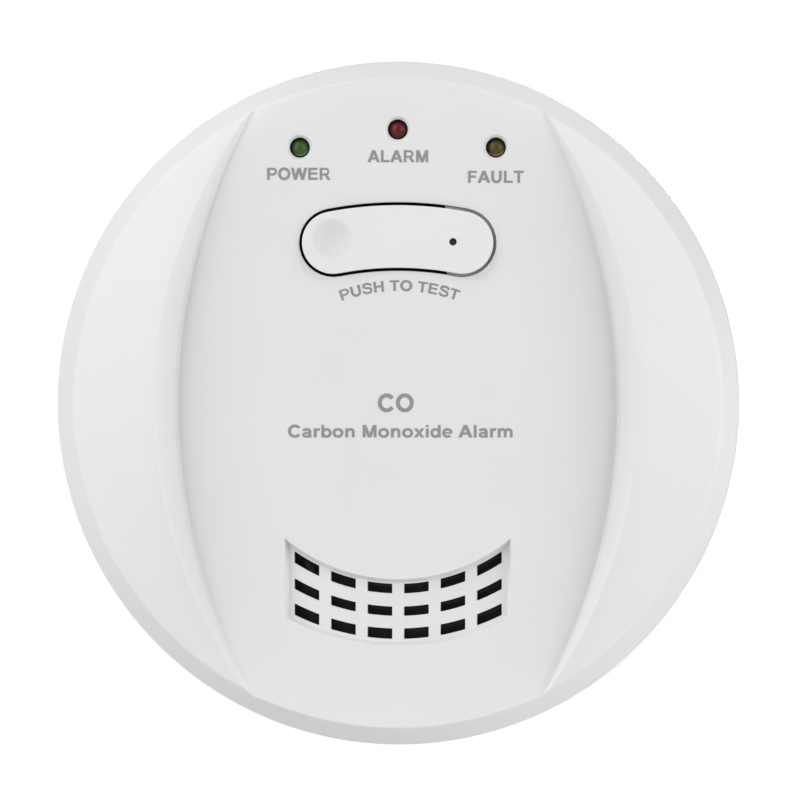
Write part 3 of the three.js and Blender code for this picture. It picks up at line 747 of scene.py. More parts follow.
def lug(sk, out, hole, y0, y1):
    """A plate across y with a round hole: outline and hole are (x, w) points, both counter-clockwise in (x, w)."""
    n = 48
    cx, cz = sum(p[0] for p in hole) / len(hole), sum(p[1] for p in hole) / len(hole)
    def at(poly, ang):
        # the point of the closed polygon in the direction ang from the hole's middle
        best = None
        dx, dz = math.cos(ang), math.sin(ang)
        for i in range(len(poly)):
            a, b = poly[i], poly[(i + 1) % len(poly)]
            ex, ez = b[0] - a[0], b[1] - a[1]
            det = dx * -ez + dz * ex
            if abs(det) < 1e-12:
                continue
            t = ((a[0] - cx) * -ez + (a[1] - cz) * ex) / det
            u = (dx * (a[1] - cz) - dz * (a[0] - cx)) / det
            if t > 1e-6 and -1e-9 <= u <= 1 + 1e-9 and (best is None or t < best):
                best = t
        return (cx + dx * best, cz + dz * best)
    angs = [2 * math.pi * (i + 0.5) / n for i in range(n)]
    po, ph = [at(out, a) for a in angs], [at(hole, a) for a in angs]
    o0, o1 = sk.add([(p[0], y0, p[1]) for p in po]), sk.add([(p[0], y1, p[1]) for p in po])
    h0, h1 = sk.add([(p[0], y0, p[1]) for p in ph]), sk.add([(p[0], y1, p[1]) for p in ph])
    for i in range(n):
        j = (i + 1) % n
        sk.face((o0[i], o0[j], h0[j], h0[i]))
        sk.face((h1[i], h1[j], o1[j], o1[i]))
        sk.face((o0[j], o0[i], o1[i], o1[j]))
        sk.face((h0[i], h0[j], h1[j], h1[i]))


cover = use(front_cover().build("front_cover_shell"), "white", "housing", ["front_cover"])



# ---------------------------------------------------------------- test button
def rod_into(sk, p0, p1, r, n=24, chamfer=0.0, mat=0):
    """A round rod between two local points, ends chamfered."""
    p0, p1 = np.array(p0, float), np.array(p1, float)
    d = (p1 - p0) / np.linalg.norm(p1 - p0)
    u = np.cross(d, [0, 0, 1.0] if abs(d[2]) < 0.9 else [1.0, 0, 0])
    u /= np.linalg.norm(u)
    v = np.cross(d, u)
    steps = [(r - chamfer, p0), (r, p0 + d * chamfer), (r, p1 - d * chamfer), (r - chamfer, p1)] if chamfer > 0 else [(r, p0), (r, p1)]
    rings = []
    for rr, p in steps:
        rings.append(sk.add([p + rr * (math.cos(t) * u + math.sin(t) * v) for t in np.arange(n) * 2 * math.pi / n]))
    for a, b in zip(rings[:-1], rings[1:]):
        sk.strip(a, b, None, None, mat)
    sk.face(tuple(reversed(rings[0])), None, mat)
    sk.face(tuple(rings[-1]), None, mat)


def box_into(sk, x0, x1, y0, y1, z0, z1, c=0.0, mat=0):
    loop = rounded([(x0, y0), (x1, y0), (x1, y1), (x0, y1)], c, 2) if c > 0 else np.array([(x0, y0, -.7, -.7), (x1, y0, .7, -.7), (x1, y1, .7, .7), (x0, y1, -.7, .7)])
    prism(sk, loop, z0, z1, c * 0.6 if c > 0 else 0.0, 2, mat)


def button_height(x, y):
    rho = np.hypot(x - DIMPLE[0], y - DIMPLE[1])
    q = np.clip(1 - (rho / 3.25) ** 2, 0, 1)
    return Z_BTN - 0.55 * q * q * (1.6 - 0.6 * q)


def test_button():
    sk = Skin()
    E, ED = 0.17, 0.04
    wall = capsule(-0.02, 36, 24)
    dot = circle(0.585, 28, *DOT)
    loops = [offset(wall, -E), offset(dot, ED)]
    lines = [(circle(r, 36, *DIMPLE)[:, :2], True) for r in (0.8, 1.6, 2.2, 2.6, 2.95, 3.25)]
    near = np.concatenate([l[:, :2] for l in loops] + [np.array(l) for l, _ in lines])
    g = hex_grid(-15, 15, 19, 31.5, 1.1)
    g = far_from(g[in_poly(g, capsule(-E - 0.4)[:, :2])], near, 0.45)
    nrm = grad_normal(button_height)
    top = patch(sk, loops, button_height, nrm, lines, g)
    roof = 31.3
    flat = lambda x, y: np.full(np.shape(x), roof)
    inner = capsule(-1.5, 36, 24)
    g = hex_grid(-13, 13, 20, 30, 3.0)
    g = far_from(g[in_poly(g, capsule(-2.4)[:, :2])], np.concatenate([inner[:, :2], dot[:, :2]]), 1.0)
    bot = patch(sk, [inner, dot], flat, grad_normal(flat), (), g, flip=True)
    o = loops[1]
    edge_walls(sk, dot, top[1], button_height(o[:, 0], o[:, 1]), nrm(o[:, 0], o[:, 1]), ED, None, bot[1], True, 3)
    o = loops[0]
    low = edge_walls(sk, wall, top[0], button_height(o[:, 0], o[:, 1]), nrm(o[:, 0], o[:, 1]), E, 28.85, None, False, 5)
    down = np.tile([0, 0, -1.0], (len(wall), 1))
    i1 = sk.add([(p[0], p[1], 28.7) for p in offset(wall, -0.15)])
    h = np.stack([wall[:, 2], wall[:, 3], np.zeros(len(wall))], 1)
    sk.strip(i1, low, (h + down) * 0.7, h)
    i2 = sk.add([(p[0], p[1], 28.7) for p in inner])
    sk.strip(i2, i1, down, down)
    sk.strip(bot[0], i2, -h, -h)
    # hinge pins, their bridge, the presser, and the skirt flange behind the hinge's gap
    px, pz = BTN_PIVOT
    for y0, y1 in ((19.6, 17.15), (29.9, 32.75)):
        rod_into(sk, (px, y0, pz), (px, y1, pz), 0.88, 24, 0.2)
    box_into(sk, px - 1.2, px + 1.2, 20.9, 29.0, 28.8, 31.6, 0.15)
    rod_into(sk, (2.0, 25.6, 31.6), (2.0, 25.6, 27.3), 1.3, 24, 0.15)
    rod_into(sk, (2.0, 25.6, 31.6), (2.0, 25.6, 29.6), 1.9, 24, 0.15)
    for d0, d1, z0, z1 in ((1.3, -0.4, 29.6, 30.2), (0.36, -0.35, 30.1, 31.35)):      # flange, and the ledge that closes the gap
        a, b = capsule(d0, 36, 24), capsule(d1, 36, 24)
        keep = [i for i in range(len(a)) if a[i, 0] > (7.63 if d0 > 1 else 7.28)]
        outer = [tuple(a[i]) for i in keep]
        inn = [tuple((b[i, 0], b[i, 1], -b[i, 2], -b[i, 3])) for i in reversed(keep)]
        prism(sk, np.array(outer + inn), z0, z1, 0.0)
    return sk


use(test_button().build("test_button_shell"), "button", "button", ["test_button"])
sk = Skin()
lathe_into(sk, fillet_profile([(0, 31.2), (0.575, 31.2), (0.575, 33.2), (0, 33.2)], 0.08, False), 28, *DOT, False)
use(sk.build("test_button_light_pipe", 40), "pipe", "button", ())


# ----------------------------------------------------------------------- LEDs
def epoxy(name, colour, painted_crescent_colour, centre):
    """Tinted epoxy with painted light: its colour is darkened towards its rim as painted shade, and it carries a
    painted highlight, the pale crescent that a dome throws on its lower side.
    """
    m = bpy.data.materials.new(name)
    m.use_nodes = True
    nt = m.node_tree
    b = nt.nodes["Principled BSDF"]
    tc = nt.nodes.new("ShaderNodeTexCoord")

    def near(cx, cy, a, c, lo, hi):
        sub, flat, length, rng = (nt.nodes.new(t) for t in ("ShaderNodeVectorMath", "ShaderNodeVectorMath", "ShaderNodeVectorMath", "ShaderNodeMapRange"))
        sub.operation, flat.operation, length.operation = "SUBTRACT", "MULTIPLY", "LENGTH"
        sub.inputs[1].default_value = (cx * 1e-3, 0, cy * 1e-3)
        flat.inputs[1].default_value = (1, 0, 1)
        nt.links.new(tc.outputs["Object"], sub.inputs[0])
        nt.links.new(sub.outputs["Vector"], flat.inputs[0])
        nt.links.new(flat.outputs["Vector"], length.inputs[0])
        nt.links.new(length.outputs["Value"], rng.inputs["Value"])
        rng.interpolation_type = "SMOOTHSTEP"
        for k, v in zip(("From Min", "From Max", "To Min", "To Max"), (a * 1e-3, c * 1e-3, lo, hi)):
            rng.inputs[k].default_value = v
        return rng.outputs["Result"]

    cx, cy = centre
    # painted highlight: the pale crescent on the dome's lower side
    painted_crescent_mask = nt.nodes.new("ShaderNodeMath")
    painted_crescent_mask.operation = "MULTIPLY"
    nt.links.new(near(cx - 0.12, cy + 0.45, 1.42, 1.66, 0.0, 1.0), painted_crescent_mask.inputs[0])
    nt.links.new(near(cx, cy, 1.22, 1.36, 1.0, 0.0), painted_crescent_mask.inputs[1])
    no = nt.nodes.new("ShaderNodeTexNoise")
    no.inputs["Scale"].default_value = 1400.0
    nt.links.new(tc.outputs["Object"], no.inputs["Vector"])
    var = nt.nodes.new("ShaderNodeMapRange")
    var.inputs["To Min"].default_value, var.inputs["To Max"].default_value = 0.8, 1.2
    nt.links.new(no.outputs["Fac"], var.inputs["Value"])
    body = nt.nodes.new("ShaderNodeVectorMath")
    body.operation = "SCALE"
    body.inputs[0].default_value = colour
    # random tone times painted shade that darkens towards the rim
    shade = nt.nodes.new("ShaderNodeMath")
    shade.operation = "MULTIPLY"
    nt.links.new(var.outputs["Result"], shade.inputs[0])
    nt.links.new(near(cx + 0.1, cy - 0.1, 0.75, 1.42, 1.15, 0.16), shade.inputs[1])
    nt.links.new(shade.outputs[0], body.inputs["Scale"])
    mix = nt.nodes.new("ShaderNodeMix")
    mix.data_type = "RGBA"
    mix.inputs["B"].default_value = (*painted_crescent_colour, 1)
    nt.links.new(body.outputs["Vector"], mix.inputs["A"])
    nt.links.new(painted_crescent_mask.outputs[0], mix.inputs["Factor"])
    nt.links.new(mix.outputs["Result"], b.inputs["Base Color"])
    b.inputs["Roughness"].default_value = 0.30
    b.inputs["Specular IOR Level"].default_value = 0.22
    b.inputs["IOR"].default_value = 1.50
    b.inputs["Transmission Weight"].default_value = 0.25
    return m


# the second colour of each is the painted highlight of its crescent
M["led_power"] = epoxy("epoxy_green", (0.040, 0.112, 0.020), (0.26, 0.42, 0.17), LED_XY["power"])
M["led_alarm"] = epoxy("epoxy_red", (0.135, 0.011, 0.015), (0.20, 0.03, 0.04), LED_XY["alarm"])
M["led_fault"] = epoxy("epoxy_olive", (0.072, 0.068, 0.013), (0.50, 0.43, 0.08), LED_XY["fault"])
M["tin"] = material("tinned_steel", (0.62, 0.62, 0.62), 0.32, metal=1.0, noise=2.0, bump=(0.3, 0.01, 0.4))
M["die"] = material("led_die", (0.55, 0.50, 0.20), 0.4, noise=0.2)

LED_Z, LED_R = 31.55, 1.44
for key, (cx, cy) in LED_XY.items():
    dome = [(LED_R * math.cos(t), LED_Z + 0.92 * LED_R * math.sin(t)) for t in np.linspace(0, math.pi / 2, 13)]
    dome[-1] = (0.0, LED_Z + 0.92 * LED_R)
    prof = [(0, 26.9), (1.78, 26.9), (1.9, 27.02), (1.9, 27.78), (1.78, 27.9), (1.50, 27.9), (LED_R, 27.98)] + dome
    sk = Skin()
    lathe_into(sk, prof, 40, cx, cy, False)
    use(sk.build(f"led_{key}_epoxy", 40), f"led_{key}", "housing", [f"led_{key}"])
    sk = Skin()
    # lead frame inside the epoxy: anvil with its cup, post, and the two legs down to the board
    cup = [(0, 29.7), (0.30, 29.7), (0.55, 29.95), (0.62, 30.25), (0.72, 30.25), (0.66, 29.6), (0.40, 29.2), (0, 29.2)]
    lathe_into(sk, list(reversed(cup)), 24, cx - 0.25, cy, False)
    box_into(sk, cx - 1.0, cx - 0.5, cy - 0.25, cy + 0.25, 21.9, 29.3, 0.05)
    box_into(sk, cx + 0.5, cx + 1.0, cy - 0.25, cy + 0.25, 21.9, 30.0, 0.05)
    use(sk.build(f"led_{key}_leadframe", 30), "tin", "housing", [f"led_{key}"])
    sk = Skin()
    box_into(sk, cx - 0.40, cx - 0.10, cy - 0.15, cy + 0.15, 29.72, 29.88, 0.0)
    use(sk.build(f"led_{key}_die", 30), "die", "housing", [f"led_{key}"])
    sk = Skin()
    lathe_into(sk, fillet_profile([(1.45, 21.9), (2.5, 21.9), (2.5, 26.6), (1.45, 26.6)], 0.18, True), 36, cx, cy, True)
    use(sk.build(f"led_spacer_{key}_tube", 35), "black", "housing", [f"led_spacer_{key}"])


# ---------------------------------------------------------------- dust screen
def dust_screen():
    sk = Skin()
    def plate(r0, r1, x0, x1, z0, z1, c=0.06, n=28, mat=0):
        loop = rounded(band(r0, r1, x0, x1, n), 0.25, 3)
        prism(sk, loop, z0, z1, c, 2, mat)
    plate(GR_R0 - 1.3, GR_R1 + 1.1, -GR_X - 1.3, GR_X + 1.3, 28.40, 28.66, 0.05)
    # The ribs behind the upper half of each slot row, mostly on the right, are a paler grey than the screen: painted
    # light, where light falls on the screen.
    for (r0, r1), x0 in zip(SLOT_ROWS, (-4.9, -4.9, 0.2)):
        plate(r0 - 0.3, r0 + 0.62, x0, GR_X + 0.4, 28.62, 29.28, 0.08, mat=1)
    plate(SLOT_ROWS[0][0] + 0.3, SLOT_ROWS[0][1], -14.6, -13.0, 28.62, 29.22, 0.08, 6, 1)
    return sk


# painted light on the dust screen: a lighter grey than the black screen
M["rib"] = material("screen_rib_painted_light", (0.10, 0.10, 0.10), 0.6, bump=(0.25, 0.02, 0.4))
use(dust_screen().build("dust_screen_ribbed", 40), ["screen", "rib"], "housing", ["dust_screen"])


# -------------------------------------------------------------------- markings
# A plain bold alphabet of the letters in use, drawn as strokes in cap heights.
def stroke(path, w):
    """The outline of a path of constant width with square ends."""
    p = np.array(path, float)
    d = np.gradient(p, axis=0) if len(p) > 2 else np.repeat([p[1] - p[0]], 2, 0)
    d /= np.linalg.norm(d, axis=1)[:, None]
    n = np.stack([-d[:, 1], d[:, 0]], 1) * w / 2
    return [tuple(q) for q in np.concatenate([p - n, (p + n)[::-1]])]


def bar(x0, y0, x1, y1):
    return [(x0, y0), (x1, y0), (x1, y1), (x0, y1)]


def slant(x0, y0, x1, y1, h):
    """A diagonal cut off level at both ends, 2h wide along x."""
    if y0 > y1:
        x0, y0, x1, y1 = x1, y1, x0, y0
    return [(x0 - h, y0), (x0 + h, y0), (x1 + h, y1), (x1 - h, y1)]


def bow(cx, cy, rx, ry, a0, a1, n=None):
    n = n or max(4, int(abs(a1 - a0) / 12))
    return [(cx + rx * math.cos(t), cy + ry * math.sin(t)) for t in np.radians(np.linspace(a0, a1, n + 1))]


def smooth(points, n=4):
    p = [np.array(q) for q in points]
    p = [2 * p[0] - p[1]] + p + [2 * p[-1] - p[-2]]
    out = []
    for i in range(1, len(p) - 2):
        for t in np.arange(n) / n:
            out.append(tuple(0.5 * (2 * p[i] + (p[i + 1] - p[i - 1]) * t + (2 * p[i - 1] - 5 * p[i] + 4 * p[i + 1] - p[i + 2]) * t * t + (3 * p[i] - p[i - 1] - 3 * p[i + 1] + p[i + 2]) * t ** 3)))
    return out + [tuple(p[-2])]


S_ = 0.232        # stroke
H_ = 0.192        # level stroke
STEM = bar(0.085, 0, 0.305, 1)
PBOW = stroke([(0.2, 1 - H_ / 2), (0.5, 1 - H_ / 2)] + bow(0.56, 0.682, 0.235, 0.234, 90, -90) + [(0.5, 0.448), (0.2, 0.448)], 0.176)
GLYPHS = {
    " ": (0.388, []),
    "P": (0.932, [STEM, PBOW]),
    "R": (1.008, [STEM, PBOW, slant(0.56, 0.46, 0.86, 0, 0.128)]),
    "O": (1.087, [stroke(bow(0.543, 0.5, 0.390, 0.422, -90, 90), S_), stroke(bow(0.543, 0.5, 0.390, 0.422, 90, 270), S_)]),
    "C": (1.008, [stroke(bow(0.535, 0.5, 0.385, 0.422, 36, 324), S_)]),
    "W": (1.318, [slant(0.112, 1, 0.362, 0, 0.120), slant(0.362, 0, 0.659, 1, 0.128), slant(0.659, 1, 0.956, 0, 0.128), slant(0.956, 0, 1.206, 1, 0.120)]),
    "E": (0.932, [STEM, bar(0.1, 1 - H_, 0.84, 1), bar(0.1, 0.43, 0.80, 0.43 + H_), bar(0.1, 0, 0.86, H_)]),
    "F": (0.853, [STEM, bar(0.1, 1 - H_, 0.79, 1), bar(0.1, 0.42, 0.72, 0.42 + H_)]),
    "L": (0.853, [STEM, bar(0.1, 0, 0.80, H_)]),
    "A": (1.008, [slant(0.115, 0, 0.504, 1, 0.130), slant(0.504, 1, 0.893, 0, 0.130), bar(0.24, 0.225, 0.77, 0.225 + 0.185)]),
    "M": (1.163, [bar(0.085, 0, 0.30, 1), bar(0.865, 0, 1.078, 1), slant(0.22, 1, 0.5815, 0, 0.128), slant(0.5815, 0, 0.943, 1, 0.128)]),
    "H": (1.008, [STEM, bar(0.705, 0, 0.922, 1), bar(0.15, 0.43, 0.85, 0.43 + H_)]),
    "T": (0.853, [bar(0.317, 0, 0.536, 1), bar(0.03, 1 - H_, 0.823, 1)]),
    "U": (1.008, [stroke([(0.195, 1.0), (0.195, 0.7)] + bow(0.504, 0.38, 0.309, 0.300, 180, 360) + [(0.813, 0.7), (0.813, 1.0)], S_)]),
    "S": (0.932, [stroke(smooth([(0.80, 0.70), (0.75, 0.83), (0.63, 0.905), (0.47, 0.925), (0.30, 0.90), (0.20, 0.82), (0.185, 0.71), (0.25, 0.62), (0.40, 0.56), (0.58, 0.51), (0.72, 0.44), (0.78, 0.33), (0.76, 0.20), (0.66, 0.11), (0.48, 0.075), (0.29, 0.10), (0.17, 0.19), (0.13, 0.31)]), 0.208)]),
    "a": (0.777, [stroke(smooth([(0.125, 0.515), (0.20, 0.61), (0.36, 0.648), (0.53, 0.62), (0.595, 0.51), (0.60, 0.35), (0.602, 0.14), (0.64, 0.0)]), 0.205), stroke(smooth([(0.60, 0.395), (0.40, 0.365), (0.21, 0.31), (0.145, 0.20), (0.20, 0.10), (0.33, 0.070), (0.48, 0.105), (0.60, 0.23)]), 0.185)]),
    "r": (0.543, [bar(0.085, 0, 0.30, 0.725), stroke(smooth([(0.195, 0.38), (0.25, 0.55), (0.37, 0.635), (0.53, 0.63)]), 0.20)]),
    "b": (0.853, [bar(0.085, 0, 0.30, 1), stroke(bow(0.468, 0.3625, 0.262, 0.292, -90, 90), 0.212), stroke(bow(0.468, 0.3625, 0.262, 0.292, 90, 270), 0.212)]),
    "o": (0.853, [stroke(bow(0.4265, 0.3625, 0.290, 0.292, -90, 90), 0.212), stroke(bow(0.4265, 0.3625, 0.290, 0.292, 90, 270), 0.212)]),
    "n": (0.853, [bar(0.085, 0, 0.30, 0.725), stroke(smooth([(0.19, 0.40), (0.26, 0.56), (0.42, 0.650), (0.58, 0.62), (0.655, 0.50), (0.660, 0.30), (0.660, 0.0)]), 0.212)]),
    "x": (0.777, [slant(0.125, 0.725, 0.652, 0, 0.128), slant(0.125, 0, 0.652, 0.725, 0.128)]),
    "i": (0.388, [bar(0.085, 0, 0.30, 0.725), bar(0.085, 0.82, 0.30, 1)]),
    "l": (0.388, [bar(0.085, 0, 0.30, 1)]),
    "d": (0.853, [bar(0.553, 0, 0.768, 1), stroke(bow(0.385, 0.3625, 0.262, 0.292, -90, 90), 0.212), stroke(bow(0.385, 0.3625, 0.262, 0.292, 90, 270), 0.212)]),
    "e": (0.777, [stroke(bow(0.39, 0.3625, 0.275, 0.292, 0, 318), 0.205), bar(0.14, 0.295, 0.70, 0.425)]),
    "m": (1.242, [bar(0.085, 0, 0.30, 0.725), stroke(smooth([(0.19, 0.40), (0.26, 0.56), (0.40, 0.648), (0.54, 0.61), (0.615, 0.50), (0.622, 0.30), (0.622, 0.0)]), 0.208), stroke(smooth([(0.62, 0.40), (0.68, 0.56), (0.83, 0.648), (0.97, 0.61), (1.045, 0.50), (1.052, 0.30), (1.052, 0.0)]), 0.208)]),
}


def filled(pts, faces):
    """The union of the polygons, cut into triangles."""
    co, _, tri, *_ = delaunay_2d_cdt([Vector(p) for p in pts], [], faces, 1, 1e-5)
    mid = np.array([np.mean([tuple(co[i]) for i in f], 0) for f in tri])
    keep = np.zeros(len(tri), bool)
    for f in faces:
        keep |= in_poly(mid, np.array([pts[i] for i in f]))
    return co, [f for f, k in zip(tri, keep) if k]


def letters(name, text, cx, cy, cap, width, bend=None, z=Z_PANEL, mat="ink", body="housing", back=False):
    """Plain printed lettering of the cap height and width given, as a thin closed layer of ink on a flat face."""
    polys, pen = [], 0.0
    for ch in text:
        adv, shapes = GLYPHS[ch]
        polys += [[(x + pen, y) for x, y in sh] for sh in shapes]
        pen += adv
    xs = [x for sh in polys for x, _ in sh]
    x0, x1 = min(xs), max(xs)
    sx = width / (x1 - x0)

    def place(x, y):
        x, y = (x - (x0 + x1) / 2) * sx, y * cap - cap / 2
        if bend:
            t = x / bend
            x, y = (bend + y) * math.sin(t), (bend + y) * math.cos(t) - bend
        return (cx + (-x if back else x), cy + y)

    pts, faces = [], []
    for sh in polys:
        out = []
        for (ax, ay), (bx, by) in zip(sh, sh[1:] + sh[:1]):
            # long sides are cut up so that they follow a bent baseline
            k = max(1, int(math.hypot(bx - ax, by - ay) * (3 if bend else 1)))
            out += [place(ax + (bx - ax) * i / k, ay + (by - ay) * i / k) for i in range(k)]
        if sum(p[0] * q[1] - q[0] * p[1] for p, q in zip(out, out[1:] + out[:1])) < 0:
            out.reverse()
        faces.append(list(range(len(pts), len(pts) + len(out))))
        pts += out
    co, tri = filled(pts, faces)
    sk = Skin()
    sgn = -1 if back else 1
    lo = sk.add([(p[0], p[1], z + sgn * 0.005) for p in co])
    hi = sk.add([(p[0], p[1], z + sgn * 0.030) for p in co])
    edges = {}
    for f in tri:
        f = list(f)
        if sum(co[f[i]][0] * co[f[(i + 1) % len(f)]][1] - co[f[(i + 1) % len(f)]][0] * co[f[i]][1] for i in range(len(f))) < 0:
            f.reverse()
        if back:
            f.reverse()
        sk.face(tuple(hi[i] for i in f), None, 0)
        sk.face(tuple(lo[i] for i in reversed(f)), None, 0)
        for i, j in zip(f, f[1:] + f[:1]):
            edges[(i, j)] = edges.get((i, j), 0) + 1
    for i, j in edges:
        if (j, i) not in edges:
            sk.face((hi[i], lo[i], lo[j], hi[j]), None, 0)
    return use(sk.build(name, 20), mat, body, ())


letters("marking_power", "POWER", -15.33, 35.58, 1.89, 9.87)
letters("marking_alarm", "ALARM", 0.02, 38.30, 1.89, 9.46)
letters("marking_fault", "FAULT", 15.24, 35.10, 1.89, 8.65)
letters("marking_test", "PUSH TO TEST", 0.30, 18.24, 1.68, 18.8, bend=27.64)
letters("marking_symbol", "CO", -0.3, 0.05, 2.75, 5.6)
letters("marking_kind", "Carbon Monoxide Alarm", 0.4, -4.35, 1.95, 34.9)


# ------------------------------------------------------------ tools for the rest
def carve(name, base, joins=(), cuts=(), bevel=0.0, angle=33):
    """base with other closed skins joined on and cut out of it; its remaining sharp edges can be broken by a small bevel."""
    ob = base.build(name, angle)
    for op, group in (("UNION", joins), ("DIFFERENCE", cuts)):
        for sk in group:
            tool = sk.build("tool", angle)
            m = ob.modifiers.new("cut", "BOOLEAN")
            m.operation, m.solver, m.object = op, "MANIFOLD", tool
            bpy.context.view_layer.update()
            me = bpy.data.meshes.new_from_object(ob.evaluated_get(bpy.context.evaluated_depsgraph_get()))
            ob.modifiers.clear()
            ob.data = me
            bpy.data.objects.remove(tool)
    bm = bmesh.new()
    bm.from_mesh(ob.data)
    bmesh.ops.remove_doubles(bm, verts=bm.verts, dist=2e-6)
    bmesh.ops.dissolve_degenerate(bm, dist=2e-6, edges=bm.edges)
    bm.to_mesh(ob.data)
    bm.free()
    if bevel:
        m = ob.modifiers.new("edge", "BEVEL")
        m.width, m.segments, m.limit_method, m.angle_limit = bevel * 1e-3, 2, "ANGLE", math.radians(40)
        m.use_clamp_overlap, m.miter_outer = True, "MITER_SHARP"
        bpy.context.view_layer.update()
        me = bpy.data.meshes.new_from_object(ob.evaluated_get(bpy.context.evaluated_depsgraph_get()))
        ob.modifiers.clear()
        ob.data = me
    ob.data.name = name
    ob.data.polygons.foreach_set("use_smooth", [True] * len(ob.data.polygons))
    ob.data.set_sharp_from_angle(angle=math.radians(angle))
    ob.data.materials.clear()
    return ob


def lathe(prof, n=96, cx=0.0, cy=0.0, closed=False, fillet=0.0):
    sk = Skin()
    lathe_into(sk, fillet_profile(prof, fillet, closed) if fillet else prof, n, cx, cy, closed)
    return sk


def slab(loop, z0, z1, edge=0.0, seg=2, edge_low=None):
    sk = Skin()
    prism(sk, loop, z0, z1, edge, seg, 0, edge_low)
    return sk


def blocks(*boxes, c=0.0):
    sk = Skin()
    for b in boxes:
        box_into(sk, *b, c)
    return sk


def sector(r0, r1, a0, a1, corner, step=1.5):
    n = max(2, int(round((a1 - a0) / step)))
    t = np.radians(np.linspace(a0, a1, n + 1))
    pts = [(r1 * math.cos(q), r1 * math.sin(q)) for q in t] + [(r0 * math.cos(q), r0 * math.sin(q)) for q in t[::-1]]
    return rounded(pts, corner, 4)


def moved(sk, f):
    """The skin with every vertex (local x, y, w) sent through f; f must keep its handedness."""
    sk.v = [tuple(f(*q)) for q in sk.v]
    return sk


def along_x(sk, ox, oy, oz, way=1):
    return moved(sk, lambda x, y, w: (ox + way * w, oy + y, oz - way * x))


def facing_x(sk):
    """A skin drawn with its outline in (y, w) and its thickness along x."""
    return moved(sk, lambda x, y, w: (w, x, y))


def tube_into(sk, pts, r, n=12, mat=0, round_ends=False):
    pts = [np.array(p, float) for p in pts]
    tang = [pts[1] - pts[0]] + [pts[i + 1] - pts[i - 1] for i in range(1, len(pts) - 1)] + [pts[-1] - pts[-2]]
    tang = [t / np.linalg.norm(t) for t in tang]
    u = np.cross(tang[0], [0.3, 0.2, 1.0] if abs(tang[0][2]) < 0.9 else [1.0, 0.1, 0])
    u /= np.linalg.norm(u)
    rings = []
    for p, t in zip(pts, tang):
        u = u - t * np.dot(u, t)
        u /= np.linalg.norm(u)
        v = np.cross(t, u)
        rings.append(sk.add([p + r * (math.cos(a) * u + math.sin(a) * v) for a in np.arange(n) * 2 * math.pi / n]))
    for a, b in zip(rings[:-1], rings[1:]):
        sk.strip(a, b, None, None, mat)
    sk.face(tuple(reversed(rings[0])), None, mat)
    sk.face(tuple(rings[-1]), None, mat)


def catmull(points, n=8):
    p = [np.array(q, float) for q in points]
    p = [2 * p[0] - p[1]] + p + [2 * p[-1] - p[-2]]
    out = []
    for i in range(1, len(p) - 2):
        for t in np.arange(n) / n:
            out.append(0.5 * (2 * p[i] + (p[i + 1] - p[i - 1]) * t + (2 * p[i - 1] - 5 * p[i] + 4 * p[i + 1] - p[i + 2]) * t * t + (3 * p[i] - p[i - 1] - 3 * p[i + 1] + p[i + 2]) * t ** 3))
    return out + [p[-2]]


def at_angle(r, a):
    return r * math.cos(math.radians(a)), r * math.sin(math.radians(a))


# ----------------------------------------------------------------- rear cover
HOOKS = [62, 152, 242, 332]
DOOR_PIVOT = (15.1, 1.6)


